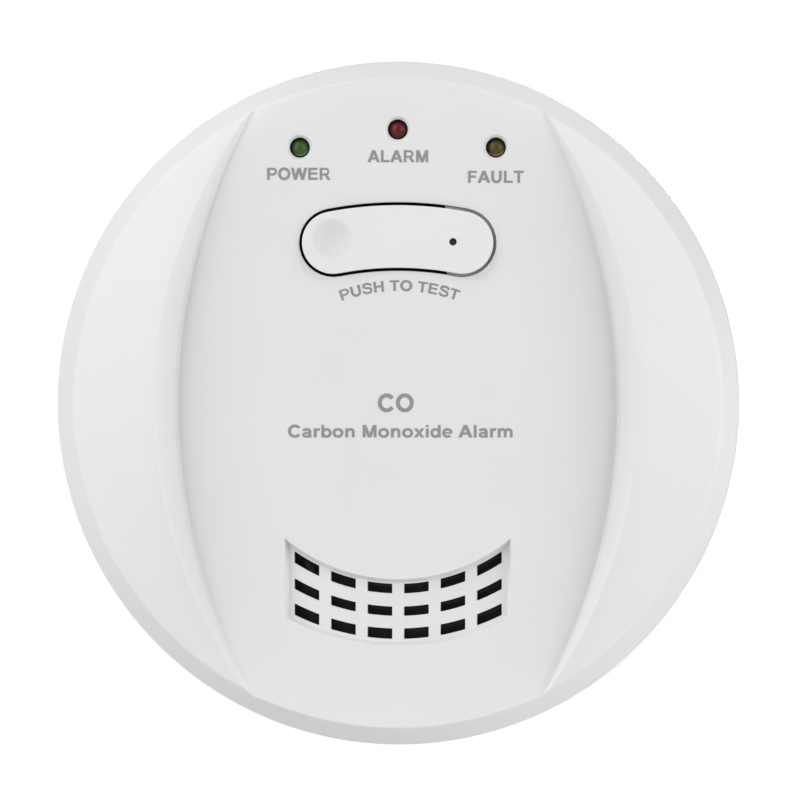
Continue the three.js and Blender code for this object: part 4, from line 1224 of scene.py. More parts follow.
def rear_cover():
    base = lathe([(0, 0.8), (34.5, 0.8), (34.5, 3.2), (50.6, 3.2), (50.6, 1.2), (53, 1.2), (53, 15.7), (50.4, 15.7),
                  (50.4, 18.5), (49, 18.5), (49, 14.5), (50.6, 12.9), (50.6, 5.2), (32.5, 5.2), (32.5, 2.8), (0, 2.8)], 240, fillet=0.38)
    well = slab(rounded([(-28.9, -17.1), (28.9, -17.1), (28.9, 17.5), (-28.9, 17.5)], 1.2, 5), 1.0, 19.0, 0.3)
    bosses, bores, heads = Skin(), Skin(), Skin()
    for a in POSTS:
        x, y = at_angle(POST_R, a)
        lathe_into(bosses, fillet_profile([(0, 3.3), (3.8, 3.3), (3.8, 12.0), (0, 12.0)], 0.25, False), 36, x, y, False)
        lathe_into(heads, [(0, 0), (3.25, 0), (3.25, 3.2), (2.9, 3.55), (2.9, 6.4), (0, 6.4)], 36, x, y, False)
        lathe_into(bores, [(0, 6), (1.75, 6), (1.75, 13), (0, 13)], 24, x, y, False)
    ribs = Skin()
    for a in (20, 70, 110, 160, 200, 250, 290, 340):
        c, s = math.cos(math.radians(a)), math.sin(math.radians(a))
        p = lambda r, t: (r * c - t * s, r * s + t * c)
        prism(ribs, rounded([p(43.6, -0.5), p(50.9, -0.5), p(50.9, 0.5), p(43.6, 0.5)], 0.1, 2), 4.9, 9.0, 0.1, 2)
    cavity = slab(rounded([(-27.7, -15.7), (27.7, -15.7), (27.7, 15.7), (-27.7, 15.7)], 0.7, 4), -1.0, 17.8)
    mouth = blocks((-27.7, 27.7, -15.2, 16.5, -1.0, 2.8))
    notch = slab(rounded([(-6.4, -19.4), (6.4, -19.4), (6.4, -14.7), (-6.4, -14.7)], 0.7, 4), -1.0, 2.1)
    scoop = slab(rounded([(-8.6, -22.6), (8.6, -22.6), (8.6, -19.0), (-8.6, -19.0)], 1.6, 6), -1.0, 1.5)
    socket = Skin()
    rod_into(socket, (-29.1, DOOR_PIVOT[0], DOOR_PIVOT[1]), (29.1, DOOR_PIVOT[0], DOOR_PIVOT[1]), 1.1, 28)
    lead = blocks(*[(26.7, 30.7, y - 1.6, y + 1.6, 11.6, 15.6) for y in (7.5, -7.5)])
    slots, marks = Skin(), Skin()
    for a in HOOKS:
        prism(slots, sector(38.4, 42.6, a - 8.7, a + 6.7, 0.5), 2.0, 7.0)
        x, y = at_angle(45.6, a - 1)                   # a moulded dot beside each bayonet slot
        lathe_into(marks, [(0, 2.9), (0.7, 2.9), (0.7, 3.3), (0.35, 3.45), (0, 3.5)], 20, x, y, False)
    # two wiring knock-outs thinned from behind in the annular plate
    knock = Skin()
    for a in (0, 180):
        prism(knock, sector(45.6, 48.4, a - 5, a + 5, 0.8), 2.0, 3.5)
    grooves = Skin()
    for r in (37.0,):
        lathe_into(grooves, [(r, 2.6), (r + 0.5, 2.6), (r + 0.5, 3.55), (r, 3.55)], 240, 0, 0, True)
    return carve("rear_cover_shell", base, [well, bosses, ribs], [cavity, mouth, heads, bores, notch, scoop, socket, lead, slots, marks, knock, grooves], 0.0)


use(rear_cover(), "back", "housing", ["rear_cover"])


# -------------------------------------------------------------------- bracket
def bracket():
    base = lathe([(36, 0), (47.5, 0), (47.5, 2.2), (36, 2.2)], 240, closed=True, fillet=0.45)
    hooks = Skin()
    for a in HOOKS:
        prism(hooks, sector(39, 42, a, a + 6, 0.4), 1.2, 6.4)
    arms = Skin()
    for a in HOOKS:
        prism(arms, sector(39, 42, a, a + 14, 0.5), 5.6, 7.2, 0.3, 3)
    slots, sinks, wells = Skin(), Skin(), Skin()
    for a in (0, 90, 180, 270):
        prism(slots, sector(39.5, 44.0, a - 7, a + 7, 1.9), -1.0, 3.0)
        lo, hi = sector(39.5, 44.0, a - 7, a + 7, 1.9), sector(38.7, 44.8, a - 8.1, a + 8.1, 2.6, 1.8)
        i0, i1 = sinks.add([(p[0], p[1], 1.3) for p in lo]), sinks.add([(p[0], p[1], 2.6) for p in hi])
        sinks.strip(i0, i1, None, None)
        sinks.face(tuple(reversed(i0)), None)
        sinks.face(tuple(i1), None)
    for a in (45, 135, 225, 315):
        prism(wells, sector(39.0, 44.5, a - 9, a + 9, 1.2), 1.0, 3.0)
    ribs = Skin()
    for a in (45, 135, 225, 315):
        for d in (-3, 3):
            prism(ribs, sector(38.8, 44.7, a + d - 0.5, a + d + 0.5, 0.15, 0.5), 0.8, 2.0, 0.1)
    ob = carve("mounting_bracket_ring", base, [hooks, arms], [slots, sinks, wells], 0.0)
    return ob


use(bracket(), "back", "bracket", ["mounting_bracket"])


# --------------------------------------------------------------- battery door
def door():
    py, pz = DOOR_PIVOT
    base = slab(rounded([(-27.3, -15.3), (27.3, -15.3), (27.3, py), (-27.3, py)], 0.5, 4), 0.8, 2.4, 0.18, 3)
    barrel = Skin()
    rod_into(barrel, (-27.3, py, pz), (27.3, py, pz), 0.8, 32, 0.05)
    pins = Skin()
    rod_into(pins, (-28.7, py, pz), (28.7, py, pz), 0.72, 28, 0.2)
    tab = slab(rounded([(-6.0, -19.0), (6.0, -19.0), (6.0, -14.5), (-6.0, -14.5)], 0.6, 4), 0.8, 1.7, 0.15, 2)
    slits = blocks((-5.0, -4.2, -19.6, -12.5, 0, 3), (4.2, 5.0, -19.6, -12.5, 0, 3))
    panel = slab(rounded([(-18.4, -9.4), (18.4, -9.4), (18.4, 9.4), (-18.4, 9.4)], 0.9, 4), -0.5, 1.35)
    grips = Skin()
    for i in range(3):
        rod_into(grips, (-3.2, -18.15 + 1.2 * i, 0.72), (3.2, -18.15 + 1.2 * i, 0.72), 0.34, 18, 0.1)
    ribs = Skin()
    for x in (-22.0, -11.0, 11.0, 22.0):
        box_into(ribs, x - 0.4, x + 0.4, -13.5, 13.0, 2.2, 2.75, 0.1)
    return carve("battery_door_panel", base, [barrel, pins, tab, ribs], [slits, panel, grips], 0.0)


use(door(), "back", "door", ["battery_door"])

M["paper"] = material("label_paper", (0.60, 0.61, 0.61), 0.38, noise=4.0, bump=(0.12, 0.003, 0.2), mottling=0.02)
lab = slab(rounded([(-18, -9), (18, -9), (18, 9), (-18, 9)], 0.8, 5), 0.86, 1.02, 0.03, 2)
lab = moved(lab, lambda x, y, w: (x, y, w + 0.28))
use(lab.build("rating_label_blank", 40), "paper", "door", ["rating_label"])


def cell_marks():
    """Outlines of the two cells and their poles, printed on the label's outer face."""
    polys = []
    def rect(x0, x1, y0, y1, t=0.22):
        for a in (bar(x0, y0, x1, y0 + t), bar(x0, y1 - t, x1, y1), bar(x0, y0, x0 + t, y1), bar(x1 - t, y0, x1, y1)):
            polys.append(a)
    for y, way in ((4.1, 1), (-4.1, -1)):
        rect(-12.5, 12.5, y - 2.7, y + 2.7)
        x = 12.5 * way
        rect(min(x, x + way * 1.0), max(x, x + way * 1.0), y - 0.9, y + 0.9)
        px = 9.6 * way
        polys.append(bar(px - 1.1, y - 0.17, px + 1.1, y + 0.17))
        polys.append(bar(px - 0.17, y - 1.1, px + 0.17, y + 1.1))
        polys.append(bar(-px - 1.1, y - 0.17, -px + 1.1, y + 0.17))
    rect(-17.2, 17.2, -8.2, 8.2, 0.18)
    return polys


def print_flat(name, polys, z0, z1, mat, body):
    pts, faces = [], []
    for sh in polys:
        sh = list(sh)
        if sum(p[0] * q[1] - q[0] * p[1] for p, q in zip(sh, sh[1:] + sh[:1])) < 0:
            sh.reverse()
        faces.append(list(range(len(pts), len(pts) + len(sh))))
        pts += sh
    co, tri = filled(pts, faces)
    sk = Skin()
    lo, hi = sk.add([(p[0], p[1], z0) for p in co]), sk.add([(p[0], p[1], z1) for p in co])
    edges = set()
    for f in tri:
        f = list(f)
        if sum(co[f[i]][0] * co[f[(i + 1) % len(f)]][1] - co[f[(i + 1) % len(f)]][0] * co[f[i]][1] for i in range(len(f))) < 0:
            f.reverse()
        sk.face(tuple(hi[i] for i in f), None, 0)
        sk.face(tuple(lo[i] for i in reversed(f)), None, 0)
        edges.update(zip(f, f[1:] + f[:1]))
    for i, j in edges:
        if (j, i) not in edges:
            sk.face((hi[i], lo[i], lo[j], hi[j]), None, 0)
    return use(sk.build(name, 20), mat, body, ())


print_flat("label_cell_marks", cell_marks(), 1.108, 1.134, "ink", "door")


# ----------------------------------------------------------------- inside
M["mask"] = material("solder_mask_green", (0.012, 0.085, 0.035), 0.34, noise=9.0, bump=(0.30, 0.004, 0.2), mottling=0.06)
M["track"] = material("copper_under_mask", (0.020, 0.135, 0.050), 0.30, noise=6.0)
M["solder"] = material("solder", (0.62, 0.63, 0.64), 0.30, 1.0, noise=0.8, bump=(0.30, 0.02, 0.3))
M["nickel"] = material("nickel_plate", (0.60, 0.60, 0.59), 0.26, 1.0, noise=6.0, bump=(0.4, 0.003, 0.2), rough_var=0.10)
M["zinc"] = material("zinc_plate", (0.52, 0.53, 0.545), 0.36, 1.0, noise=1.6, bump=(0.25, 0.008, 0.3), rough_var=0.12)
M["can"] = material("drawn_can", (0.58, 0.585, 0.59), 0.30, 1.0, noise=3.0, bump=(0.5, 0.004, 0.2), rough_var=0.10)
M["membrane"] = material("sintered_membrane", (0.78, 0.78, 0.755), 0.85, noise=0.7, bump=(0.08, 0.05, 0.6))
M["foam"] = material("closed_cell_foam", (0.018, 0.018, 0.019), 0.92, noise=0.9, bump=(0.18, 0.08, 0.8))
M["brass"] = material("rolled_brass", (0.66, 0.48, 0.19), 0.30, 1.0, noise=5.0, bump=(0.5, 0.003, 0.2), rough_var=0.12)
M["silvered"] = material("silvered_ceramic", (0.72, 0.70, 0.62), 0.45, noise=2.0, bump=(0.12, 0.01, 0.4), mottling=0.05)
M["moulding"] = material("black_moulding", (0.022, 0.022, 0.023), 0.46, noise=3.0, bump=(0.25, 0.015, 0.3))
M["epoxy"] = material("chip_epoxy", (0.016, 0.016, 0.017), 0.55, noise=1.0, bump=(0.10, 0.012, 0.4))
M["sleeve"] = material("capacitor_sleeve", (0.022, 0.026, 0.055), 0.32, noise=3.0, mottling=0.08)
M["ferrite"] = material("ferrite", (0.045, 0.044, 0.043), 0.62, noise=0.6, bump=(0.12, 0.03, 0.5), mottling=0.12)
M["enamel"] = material("enamelled_copper", (0.42, 0.12, 0.035), 0.28, 0.6, noise=0.8)
M["jacket"] = material("cell_jacket", (0.115, 0.145, 0.180), 0.30, noise=12.0, mottling=0.05)
M["jacket_end"] = material("cell_jacket_band", (0.50, 0.38, 0.16), 0.28, 0.5, noise=8.0, mottling=0.05)
M["wire_red"] = material("red_insulation", (0.36, 0.020, 0.018), 0.42, noise=2.0)
M["wire_black"] = material("black_insulation", (0.016, 0.016, 0.017), 0.42, noise=2.0)
M["grey"] = material("plunger_grey", (0.22, 0.225, 0.235), 0.42, noise=2.0, bump=(0.2, 0.01, 0.3))


def board():
    base = slab(circle(46.5, 180), 20.0, 21.6, 0.08, 2)
    cuts = Skin()
    for a in POSTS:
        lathe_into(cuts, [(0, 19), (3.7, 19), (3.7, 23), (0, 23)], 32, *at_angle(POST_R, a), False)
    for x, y in PCB_POSTS:
        lathe_into(cuts, [(0, 19), (1.6, 19), (1.6, 23), (0, 23)], 24, x, y, False)
    lathe_into(cuts, [(0, 19), (1.0, 19), (1.0, 23), (0, 23)], 24, -41.5, -14.0, False)
    return carve("main_pcb_board", base, [], [cuts], 0.0)


use(board(), "mask", "housing", ["main_pcb"])

TRACKS = [[(-27, -2), (-20, 5), (-20, 18), (-3.5, 22)], [(-27, -3.2), (-15, 8), (-15, 22), (-14.9, 38)], [(-26, -4), (-10, 8), (-2, 18), (0, 30), (0, 40)],
          [(-26, -5), (4, 5), (10, 15), (14.5, 30), (14.8, 38)], [(-26, -6), (-8, -8), (4, -16), (8, -24)], [(-26, -7), (-18, -12), (-14, -18)],
          [(27, -6), (31, -6), (36.5, -6)], [(33, 4.5), (36.5, 0), (36.5, -6)], [(33, -4.5), (27, -9), (20, -16), (14, -26)], [(-29, -15), (-24, -19), (-19, -22)],
          [(-26, 15), (-24, 4), (-29, 0)], [(-34, 15), (-35.5, 2), (-32.5, -2)], [(5, 22), (20, 18), (27, 6), (27, -3)], [(5, 28.5), (22, 26), (34, 16), (33, 5.5)],
          [(-40, 2), (-38, -14), (-31, -16)], [(40, -12), (34, -24), (24, -34), (12, -38)]]


def tracks():
    polys = [stroke(t, 0.55) for t in TRACKS]
    for x, y in PCB_POSTS:
        r = 3.0
        polys.append([(x + r * math.cos(t) , y + r * math.sin(t)) for t in np.arange(24) * math.pi / 12][:13] + [(x - 1.75 * math.cos(t), y + 1.75 * math.sin(t)) for t in np.linspace(0, math.pi, 13)])
    return polys


def joint_cones(name, points, body="housing"):
    """Solder joints on the back of the board, each with its clipped pin end."""
    sk = Skin()
    for x, y in points:
        lathe_into(sk, [(0, 19.0), (0.22, 19.05), (0.28, 19.35), (0.45, 19.65), (0.85, 19.93), (0.9, 20.03), (0, 20.03)], 16, x, y, False)
    return use(sk.build(name, 50), "solder", body, ())


PINS = [(10 - 3.8, -29.5 - 3), (10 + 3.8, -29.5 - 3), (10, -29.5 + 4.6), (-14.5, -27.5), (-7.5, -27.5), (25.5, -6), (28.5, -6), (34.6, -6), (38.4, -6),
        (-32.5, 15), (-27.5, 15), (33, 4.5), (33, -4.5), (-1.25, 22.8), (5.25, 22.8), (-1.25, 28.4), (5.25, 28.4)]
for cx_, cy_ in LED_XY.values():
    PINS += [(cx_ - 0.75, cy_), (cx_ + 0.75, cy_)]
print_flat("main_pcb_tracks", tracks(), 21.602, 21.64, "track", "housing")
joint_cones("main_pcb_solder", PINS)


def pads_front():
    sk = Skin()
    for x, y in PINS:
        lathe_into(sk, [(0.0, 21.60), (0.95, 21.60), (0.95, 21.64), (0.7, 21.72), (0, 21.78)], 16, x, y, False)
    return sk


use(pads_front().build("main_pcb_pads", 50), "solder", "housing", ())


# carbon monoxide cell
def sensor():
    x, y = 10.0, -29.5
    prof = fillet_profile([(0, 21.9), (7.6, 21.9), (7.6, 22.4), (8.0, 22.8), (8.0, 24.7), (7.72, 24.9), (7.72, 25.2), (8.0, 25.4), (8.0, 26.6), (7.4, 27.2), (5.3, 27.2), (4.9, 26.9), (1.6, 26.9), (1.3, 26.0), (0, 26.0)],
                          {2: 0.3, 3: 0.3, 4: 0.12, 5: 0.12, 6: 0.12, 7: 0.12, 8: 0.5, 9: 0.5, 10: 0.12, 11: 0.12, 12: 0.1}, False)
    sk = Skin()
    lathe_into(sk, prof, 96, x, y, False)
    for px, py in PINS[:3]:
        lathe_into(sk, [(0, 19.1), (0.4, 19.25), (0.4, 22.0), (0, 22.0)], 16, px, py, False)
    return sk


use(sensor().build("co_sensor_can_drawn", 35), "can", "housing", ["co_sensor_can"])
sk = Skin()
lathe_into(sk, fillet_profile([(0, 27.5), (4.2, 27.5), (4.2, 27.9), (0, 27.9)], 0.08, False), 64, 10.0, -29.5, False)
use(sk.build("co_sensor_filter_disc", 35), "membrane", "housing", ["co_sensor_filter"])
sk = Skin()
lathe_into(sk, fillet_profile([(5.2, 27.5), (7.6, 27.5), (7.6, 28.3), (5.2, 28.3)], 0.16, True), 72, 10.0, -29.5, True)
use(sk.build("co_sensor_gasket_ring", 35), "foam", "housing", ["co_sensor_gasket"])


# horn
def horn():
    x, y = -11.0, -27.5
    base = Skin()
    lathe_into(base, fillet_profile([(11, 21.9), (11, 28.2), (2.2, 28.2), (2.2, 27.2), (10, 27.2), (10, 24.3), (9.0, 24.3), (9.0, 23.4), (10, 23.4), (10, 21.9)], 0.14, True), 128, x, y, True)
    notches = Skin()
    for a in (0, 120, 240):
        c, s = math.cos(math.radians(a + 90)), math.sin(math.radians(a + 90))
        p = lambda r, t: (x + r * c - t * s, y + r * s + t * c)
        prism(notches, rounded([p(9.2, -1.3), p(12, -1.3), p(12, 1.3), p(9.2, 1.3)], 0.3, 3), 21.0, 22.7)
    return carve("horn_housing_shell", base, [], [notches], 0.0)


use(horn(), "moulding", "housing", ["horn_housing"])
sk = Skin()
lathe_into(sk, fillet_profile([(0, 24.6), (9.6, 24.6), (9.6, 24.85), (0, 24.85)], 0.05, False), 96, -11.0, -27.5, False)
use(sk.build("horn_diaphragm_disc", 35), "brass", "housing", ["horn_diaphragm"])
sk = Skin()
lathe_into(sk, fillet_profile([(0, 24.9), (6.6, 24.9), (6.6, 25.4), (0, 25.4)], 0.04, False), 80, -11.0, -27.5, False)
use(sk.build("horn_ceramic_disc", 35), "silvered", "housing", ["horn_ceramic"])
sk = Skin()
for (x0, y0, z0), (x1, y1) in (((-8.0, -27.5, 24.5), (-7.5, -27.5)), ((-14.0, -27.5, 24.5), (-14.5, -27.5))):
    tube_into(sk, catmull([(x0, y0, z0), (x0 * 0.6 + x1 * 0.4, y0 + 0.5, 23.6), (x1, y1 + 0.2, 22.6), (x1, y1, 21.5)], 8), 0.22, 10)
use(sk.build("horn_feed_wires", 50), "wire_red", "housing", ())

# test switch
def switch():
    x, y = 2.0, 25.6
    base = Skin()
    box_into(base, x - 3, x + 3, y - 3, y + 3, 21.9, 25.0, 0.25)
    bore = Skin()
    lathe_into(bore, [(0, 22.8), (2.0, 22.8), (2.0, 27), (0, 27)], 40, x, y, False)
    return carve("switch_body_moulding", base, [], [bore], 0.0)


use(switch(), "moulding", "housing", ["switch_body"])
plate = slab(rounded([(-1.0, 22.6), (5.0, 22.6), (5.0, 28.6), (-1.0, 28.6)], 0.35, 4), 24.98, 25.28, 0.05, 2)
bore = Skin()
lathe_into(bore, [(0, 24), (2.1, 24), (2.1, 27), (0, 27)], 40, 2.0, 25.6, False)
dimples = Skin()
for dx in (-2.5, 2.5):
    for dy in (-2.5, 2.5):
        lathe_into(dimples, [(0, 25.2), (0.42, 25.2), (0.36, 25.36), (0, 25.40)], 16, 2.0 + dx, 25.6 + dy, False)
use(carve("switch_body_plate", plate, [dimples], [bore], 0.0), "nickel", "housing", ())
sk = Skin()
for x0, y0 in PINS[13:17]:
    w_ = 1 if x0 > 2 else -1
    box_into(sk, x0 - 0.13, x0 + 0.13, y0 - 0.35, y0 + 0.35, 19.2, 23.2, 0.04)
    box_into(sk, min(x0, 2 + w_ * 2.9), max(x0, 2 + w_ * 2.9), y0 - 0.35, y0 + 0.35, 22.95, 23.2, 0.04)
use(sk.build("switch_body_legs", 35), "nickel", "housing", ())
sk = Skin()
lathe_into(sk, fillet_profile([(0, 23.5), (1.65, 23.5), (1.65, 27.0), (0, 27.0)], 0.18, False), 40, 2.0, 25.6, False)
use(sk.build("switch_plunger_stem", 35), "grey", "plunger", ["switch_plunger"])


# chips
def chip(name, node, x0, x1, y0, y1, z1, pins, along):
    base = Skin()
    box_into(base, x0, x1, y0, y1, 21.9, z1, 0.18)
    mark = Skin()
    lathe_into(mark, [(0, z1 - 0.12), (0.35, z1 - 0.12), (0.4, z1 + 0.3), (0, z1 + 0.3)], 20, x0 + 1.0, y1 - 1.0, False)
    use(carve(name + "_package", base, [], [mark], 0.0), "epoxy", "housing", [node])
    legs = Skin()
    mid = (21.9 + z1) / 2
    for i in range(pins):
        for sgn in (-1, 1):
            if along == "x":
                c = x0 + (x1 - x0) * (i + 0.5) / pins
                e = y0 if sgn < 0 else y1
                path = [(e - sgn * 0.1, mid), (e + sgn * 0.35, mid), (e + sgn * 0.55, 21.80), (e + sgn * 1.05, 21.73)]
                q = [(c, a, b) for a, b in path]
            else:
                c = y0 + (y1 - y0) * (i + 0.5) / pins
                e = x0 if sgn < 0 else x1
                path = [(e - sgn * 0.1, mid), (e + sgn * 0.35, mid), (e + sgn * 0.55, 21.80), (e + sgn * 1.05, 21.73)]
                q = [(a, c, b) for a, b in path]
            tube_into(legs, q, 0.13, 6)
    use(legs.build(name + "_leads", 40), "solder", "housing", ())


chip("microcontroller", "microcontroller", -33, -26, -8, -1, 23.0, 8, "y")
chip("horn_driver", "horn_driver", -31, -25, -19, -14.5, 23.3, 4, "x")

# capacitor: sleeve with the bare, scored top showing inside its rim
def cap():
    prof = fillet_profile([(0, 21.9), (3.1, 21.9), (3.1, 22.6), (2.88, 22.8), (2.88, 23.0), (3.1, 23.2), (3.1, 29.15), (2.9, 29.4), (2.5, 29.4), (2.45, 29.25), (0, 29.25)],
                          {1: 0.15, 2: 0.1, 3: 0.08, 4: 0.08, 5: 0.1, 6: 0.15, 7: 0.1}, False)
    base = Skin()
    lathe_into(base, prof, 64, 27.0, -6.0, False)
    return base


use(cap().build("capacitor_sleeved", 35), "sleeve", "housing", ["capacitor"])
top = Skin()
lathe_into(top, [(0, 29.2), (2.44, 29.2), (2.44, 29.33), (0, 29.33)], 48, 27.0, -6.0, False)
score = blocks((26.85, 27.15, -7.9, -4.1, 29.27, 29.6), (25.1, 28.9, -6.15, -5.85, 29.27, 29.6))
use(carve("capacitor_vent_top", top, [], [blocks((26.85, 27.15, -7.9, -4.1, 29.27, 29.6)), blocks((25.1, 28.9, -6.15, -5.85, 29.27, 29.6))], 0.0), "nickel", "housing", ())

# inductor: ferrite bobbin and winding
sk = Skin()
lathe_into(sk, fillet_profile([(0, 21.9), (3.6, 21.9), (3.6, 22.75), (2.2, 22.85), (2.2, 25.45), (3.6, 25.55), (3.6, 26.4), (0, 26.4)], 0.1, False), 64, 36.5, -6.0, False)
use(sk.build("inductor_bobbin", 35), "ferrite", "housing", ["inductor"])
sk = Skin()
lathe_into(sk, [(2.1, 22.9)] + [(2.62 + (0.0 if k % 2 else 0.16), 22.95 + 0.1 * k) for k in range(25)] + [(2.1, 25.4)], 48, 36.5, -6.0, True)
use(sk.build("inductor_winding", 60), "enamel", "housing", ())

# crystal can
sk = Skin()
prism(sk, rounded([(-35, 13), (-25, 13), (-25, 17), (-35, 17)], 1.95, 10), 21.9, 22.25, 0.08, 2)
use(carve("crystal_can", sk, [slab(rounded([(-34.6, 13.4), (-25.4, 13.4), (-25.4, 16.6), (-34.6, 16.6)], 1.58, 10), 22.1, 25.2, 0.4, 5, 0.0)], [], 0.0), "can", "housing", ["crystal"])


# cells
def cell(name, node, ox, oy, way):
    jacket = [(0, 0.45), (6.2, 0.45), (6.55, 0.12), (6.85, 0.08), (7.08, 0.3), (7.1, 0.7), (7.1, 47.9), (7.06, 48.5), (6.75, 48.78), (6.1, 48.62), (0, 48.5)]
    sk = Skin()
    lathe_into(sk, jacket, 72, 0, 0, False)
    along_x(sk, ox, oy, 10.3, way)
    use(sk.build(name + "_jacket", 40), "jacket", "housing", [node])
    sk = Skin()
    lathe_into(sk, [(0, 0.0), (4.6, 0.0), (5.2, 0.12), (5.6, 0.42), (5.6, 0.9), (0, 0.9)], 60, 0, 0, False)
    lathe_into(sk, fillet_profile([(0, 48.3), (5.9, 48.3), (5.9, 48.78), (5.5, 49.0), (2.95, 49.0), (2.7, 49.2), (2.7, 50.3), (0, 50.3)], {4: 0.15, 5: 0.15, 6: 0.35}, False), 60, 0, 0, False)
    along_x(sk, ox, oy, 10.3, way)
    use(sk.build(name + "_poles", 40), "nickel", "housing", ())
    sk = Skin()
    lathe_into(sk, [(7.06, 36.2), (7.115, 36.25), (7.115, 47.9), (7.06, 47.95)], 72, 0, 0, True)
    along_x(sk, ox, oy, 10.3, way)
    use(sk.build(name + "_band", 40), "jacket_end", "housing", ())


cell("battery_cell_a", "battery_cell_a", -23.4, 7.5, 1)
cell("battery_cell_b", "battery_cell_b", 23.4, -7.5, -1)


# contacts: spring plates with rounded corners and pressed domes
def contact(name, node, x0, x1, y0, y1, domes=(), tab=None):
    base = facing_x(slab(rounded([(y0, 5.0), (y1, 5.0), (y1, 15.8), (y0, 15.8)], 0.9, 5), x0, x1, 0.06, 2))
    joins = []
    if tab:
        joins.append(blocks(tab, c=0.12))
    for (y, w, sgn) in domes:
        d = Skin()
        lathe_into(d, [(0, -0.1), (1.7, -0.1), (1.7, 0.02), (1.35, 0.2), (0.8, 0.32), (0, 0.36)], 32, 0, 0, False)
        x = x1 if sgn > 0 else x0
        joins.append(along_x(d, x, y, w, sgn))
    use(carve(name, base, joins, [], 0.0), "nickel", "housing", [node])


contact("contact_link_plate", "contact_link", -27.4, -27.0, -13.5, 13.5, [(-7.5, 10.3, 1)])
contact("contact_positive_plate", "contact_positive", 27.0, 27.4, 3.0, 12.0, [(7.5, 10.3, -1)], (27.2, 30.2, 6.6, 8.4, 13.0, 13.4))
contact("contact_negative_plate", "contact_negative", 27.0, 27.4, -12.0, -3.0, [], (27.2, 30.2, -8.4, -6.6, 13.0, 13.4))


def coil(name, node, ox, oy, way):
    t = np.linspace(0, 1, 76)
    pts = [(ox + way * 2.4 * q, oy + (4.2 - 2.0 * q) * math.cos(way * 5 * math.pi * q), 10.3 + (4.2 - 2.0 * q) * math.sin(way * 5 * math.pi * q)) for q in t]
    sk = Skin()
    tube_into(sk, pts, 0.3, 12)
    use(sk.build(name, 50), "nickel", "housing", [node])


coil("contact_spring_a_coil", "contact_spring_a", -26.4, 7.5, 1)
coil("contact_spring_b_coil", "contact_spring_b", 26.4, -7.5, -1)

for key, y, end in (("red", 7.5, 4.5), ("black", -7.5, -4.5)):
    pts = catmull([(29.7, y, 14.05), (30.0, y, 15.2), (31.0, (y + end) / 2, 16.6), (32.6, end, 17.6), (33.0, end, 18.7), (33.0, end, 19.7)], 7)
    sk = Skin()
    tube_into(sk, pts, 0.6, 16)
    use(sk.build(f"battery_lead_{key}_wire", 50), f"wire_{key}", "housing", [f"battery_lead_{key}"])
    sk = Skin()
    tube_into(sk, [(29.7, y, 13.25), (29.7, y, 14.3)], 0.32, 12)
    tube_into(sk, [(33.0, end, 19.5), (33.0, end, 21.9)], 0.32, 12)
    lathe_into(sk, [(0, 13.3), (0.75, 13.35), (0.55, 13.75), (0.33, 13.95), (0, 14.0)], 16, 29.7, y, False)
    use(sk.build(f"battery_lead_{key}_ends", 50), "solder", "housing", ())


# screws
def screw(name, node, x, y, w, head, shank, length):
    prof = [(0, 0), (head * 0.55, 0), (head * 0.86, 0.16), (head, 0.55), (head, 1.5), (head * 0.95, 1.7), (shank * 0.82, 1.7)]
    z = 2.3
    while z < length - 1.9:
        prof += [(shank * 0.80, z), (shank, z + 0.28), (shank * 0.80, z + 0.56)]
        z += 0.80
    prof += [(shank * 0.78, length - 1.2), (shank * 0.25, length - 0.1), (0, length)]
    base = Skin()
    lathe_into(base, prof, 32, 0, 0, False)
    cuts = [blocks((-1.45, 1.45, -0.33, 0.33, -1, 0.8)), blocks((-0.33, 0.33, -1.45, 1.45, -1, 0.8))]
    ob = carve(name, base, [], cuts, 0.0, 30)
    ob.data.transform(Matrix.Translation((x * 1e-3, -w * 1e-3, y * 1e-3)))
    use(ob, "zinc", "housing", [node])


for i, a in enumerate(POSTS):
    screw(f"case_screw_{i + 1}_threaded", f"case_screw_{i + 1}", *at_angle(POST_R, a), 4.3, 2.6, 1.4, 18.5)
for i, (x, y) in enumerate(PCB_POSTS):
    screw(f"board_screw_{i + 1}_threaded", f"board_screw_{i + 1}", x, y, 18.0, 2.4, 1.15, 9.0)


# --------------------------------------------------------- camera and lighting
VIEW_W = 0.12416              # field width at the object's middle depth, m
LENS = 800.0
cam = bpy.data.cameras.new("camera")
cam.lens = LENS
cam.sensor_width = 36.0
cam_ob = bpy.data.objects.new("camera", cam)
bpy.context.scene.collection.objects.link(cam_ob)
TURN = math.radians(2.4)        # the view comes very slightly from the right
FAR = VIEW_W * LENS / 36.0
cam_ob.location = (0.00029 + FAR * math.sin(TURN), -0.0313 - FAR * math.cos(TURN), 0.00049)
cam_ob.rotation_euler = (math.pi / 2, 0, TURN)
cam.clip_start, cam.clip_end = 0.01, 100.0
bpy.context.scene.camera = cam_ob
bpy.context.scene.view_settings.view_transform = "Standard"

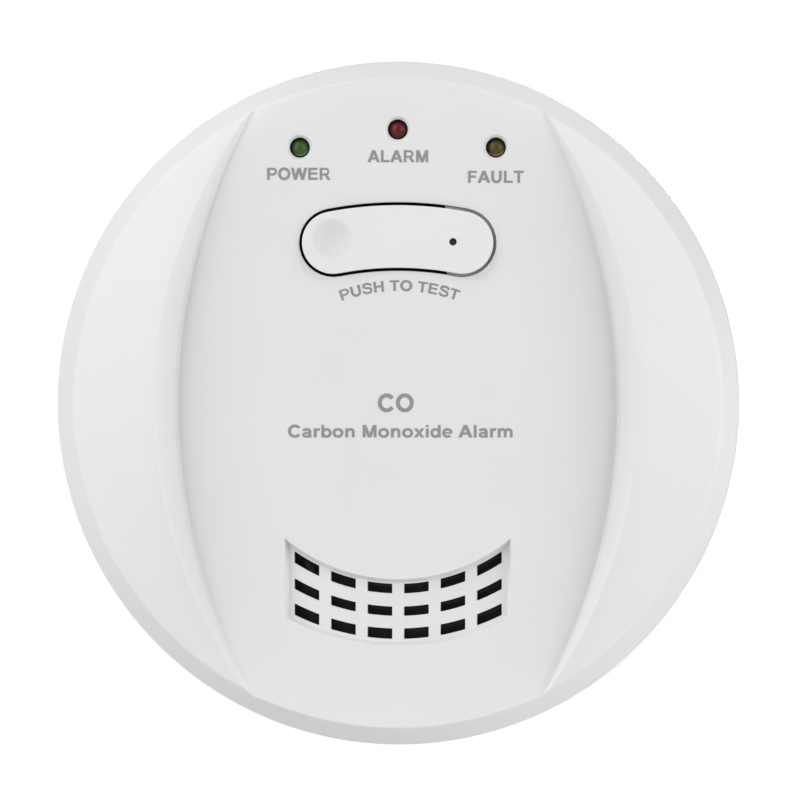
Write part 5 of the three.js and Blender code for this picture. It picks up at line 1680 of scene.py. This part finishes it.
# A pale room, white behind the object, brighter on the camera's side, with broad soft lamps: (height off the panel, way round it from +X, strength).
SKY_FRONT, SKY_BACK = 0.08, 0.31
world = bpy.data.worlds.new("studio")
bpy.context.scene.world = world
world.use_nodes = True
nt = world.node_tree
back = nt.nodes["Background"]
back.inputs["Color"].default_value = (1, 1, 1, 1)
way_in = nt.nodes.new("ShaderNodeTexCoord")
sep = nt.nodes.new("ShaderNodeSeparateXYZ")
sky = nt.nodes.new("ShaderNodeMapRange")
sky.inputs["From Min"].default_value = 0.10
sky.inputs["From Max"].default_value = -0.10
sky.inputs["To Min"].default_value = SKY_BACK
sky.inputs["To Max"].default_value = SKY_FRONT
path = nt.nodes.new("ShaderNodeLightPath")
level = nt.nodes.new("ShaderNodeMix")
level.inputs["B"].default_value = 1.0
nt.links.new(way_in.outputs["Generated"], sep.inputs[0])
nt.links.new(sep.outputs["Y"], sky.inputs["Value"])
nt.links.new(path.outputs["Is Camera Ray"], level.inputs["Factor"])
nt.links.new(sky.outputs["Result"], level.inputs["A"])
nt.links.new(level.outputs["Result"], back.inputs["Strength"])

LAMPS = [(8, -6, 0.46), (28, 0, 0.238), (48, 0, 0.138), (28, 45, 0.030), (48, 45, 0.084), (8, 90, 0.055),
         (8, 132, 0.275), (28, 135, 0.150), (48, 135, 0.188), (28, 180, 0.074), (48, 180, 0.19), (70, 180, 0.032),
         (-86, 90, 0.42), (-72, 40, 0.16)]
for i, (up, way, k) in enumerate(LAMPS):
    li = bpy.data.lights.new(f"soft_lamp_{i}", "SUN")
    li.angle = math.radians(36 if up > 0 else 24)
    li.energy = math.pi * k
    ob = bpy.data.objects.new(f"soft_lamp_{i}", li)
    bpy.context.scene.collection.objects.link(ob)
    e, a = math.radians(up), math.radians(way)
    ob.rotation_mode = "QUATERNION"
    ob.rotation_quaternion = Vector((math.cos(e) * math.cos(a), -math.sin(e), math.cos(e) * math.sin(a))).to_track_quat("Z", "Y")

me = bpy.data.meshes.new("floor")
s, drop = 10.0, -1.6             # the floor, as far below as a detector hangs above it
me.from_pydata([(-s, -s, drop), (s, -s, drop), (s, s, drop), (-s, s, drop)], [], [(0, 1, 2, 3)])
floor = bpy.data.objects.new("floor", me)
bpy.context.scene.collection.objects.link(floor)
M["floor"] = material("floor_pale", (0.80, 0.80, 0.80), 0.6, noise=200.0, mottling=0.01)
floor.data.materials.append(M["floor"])
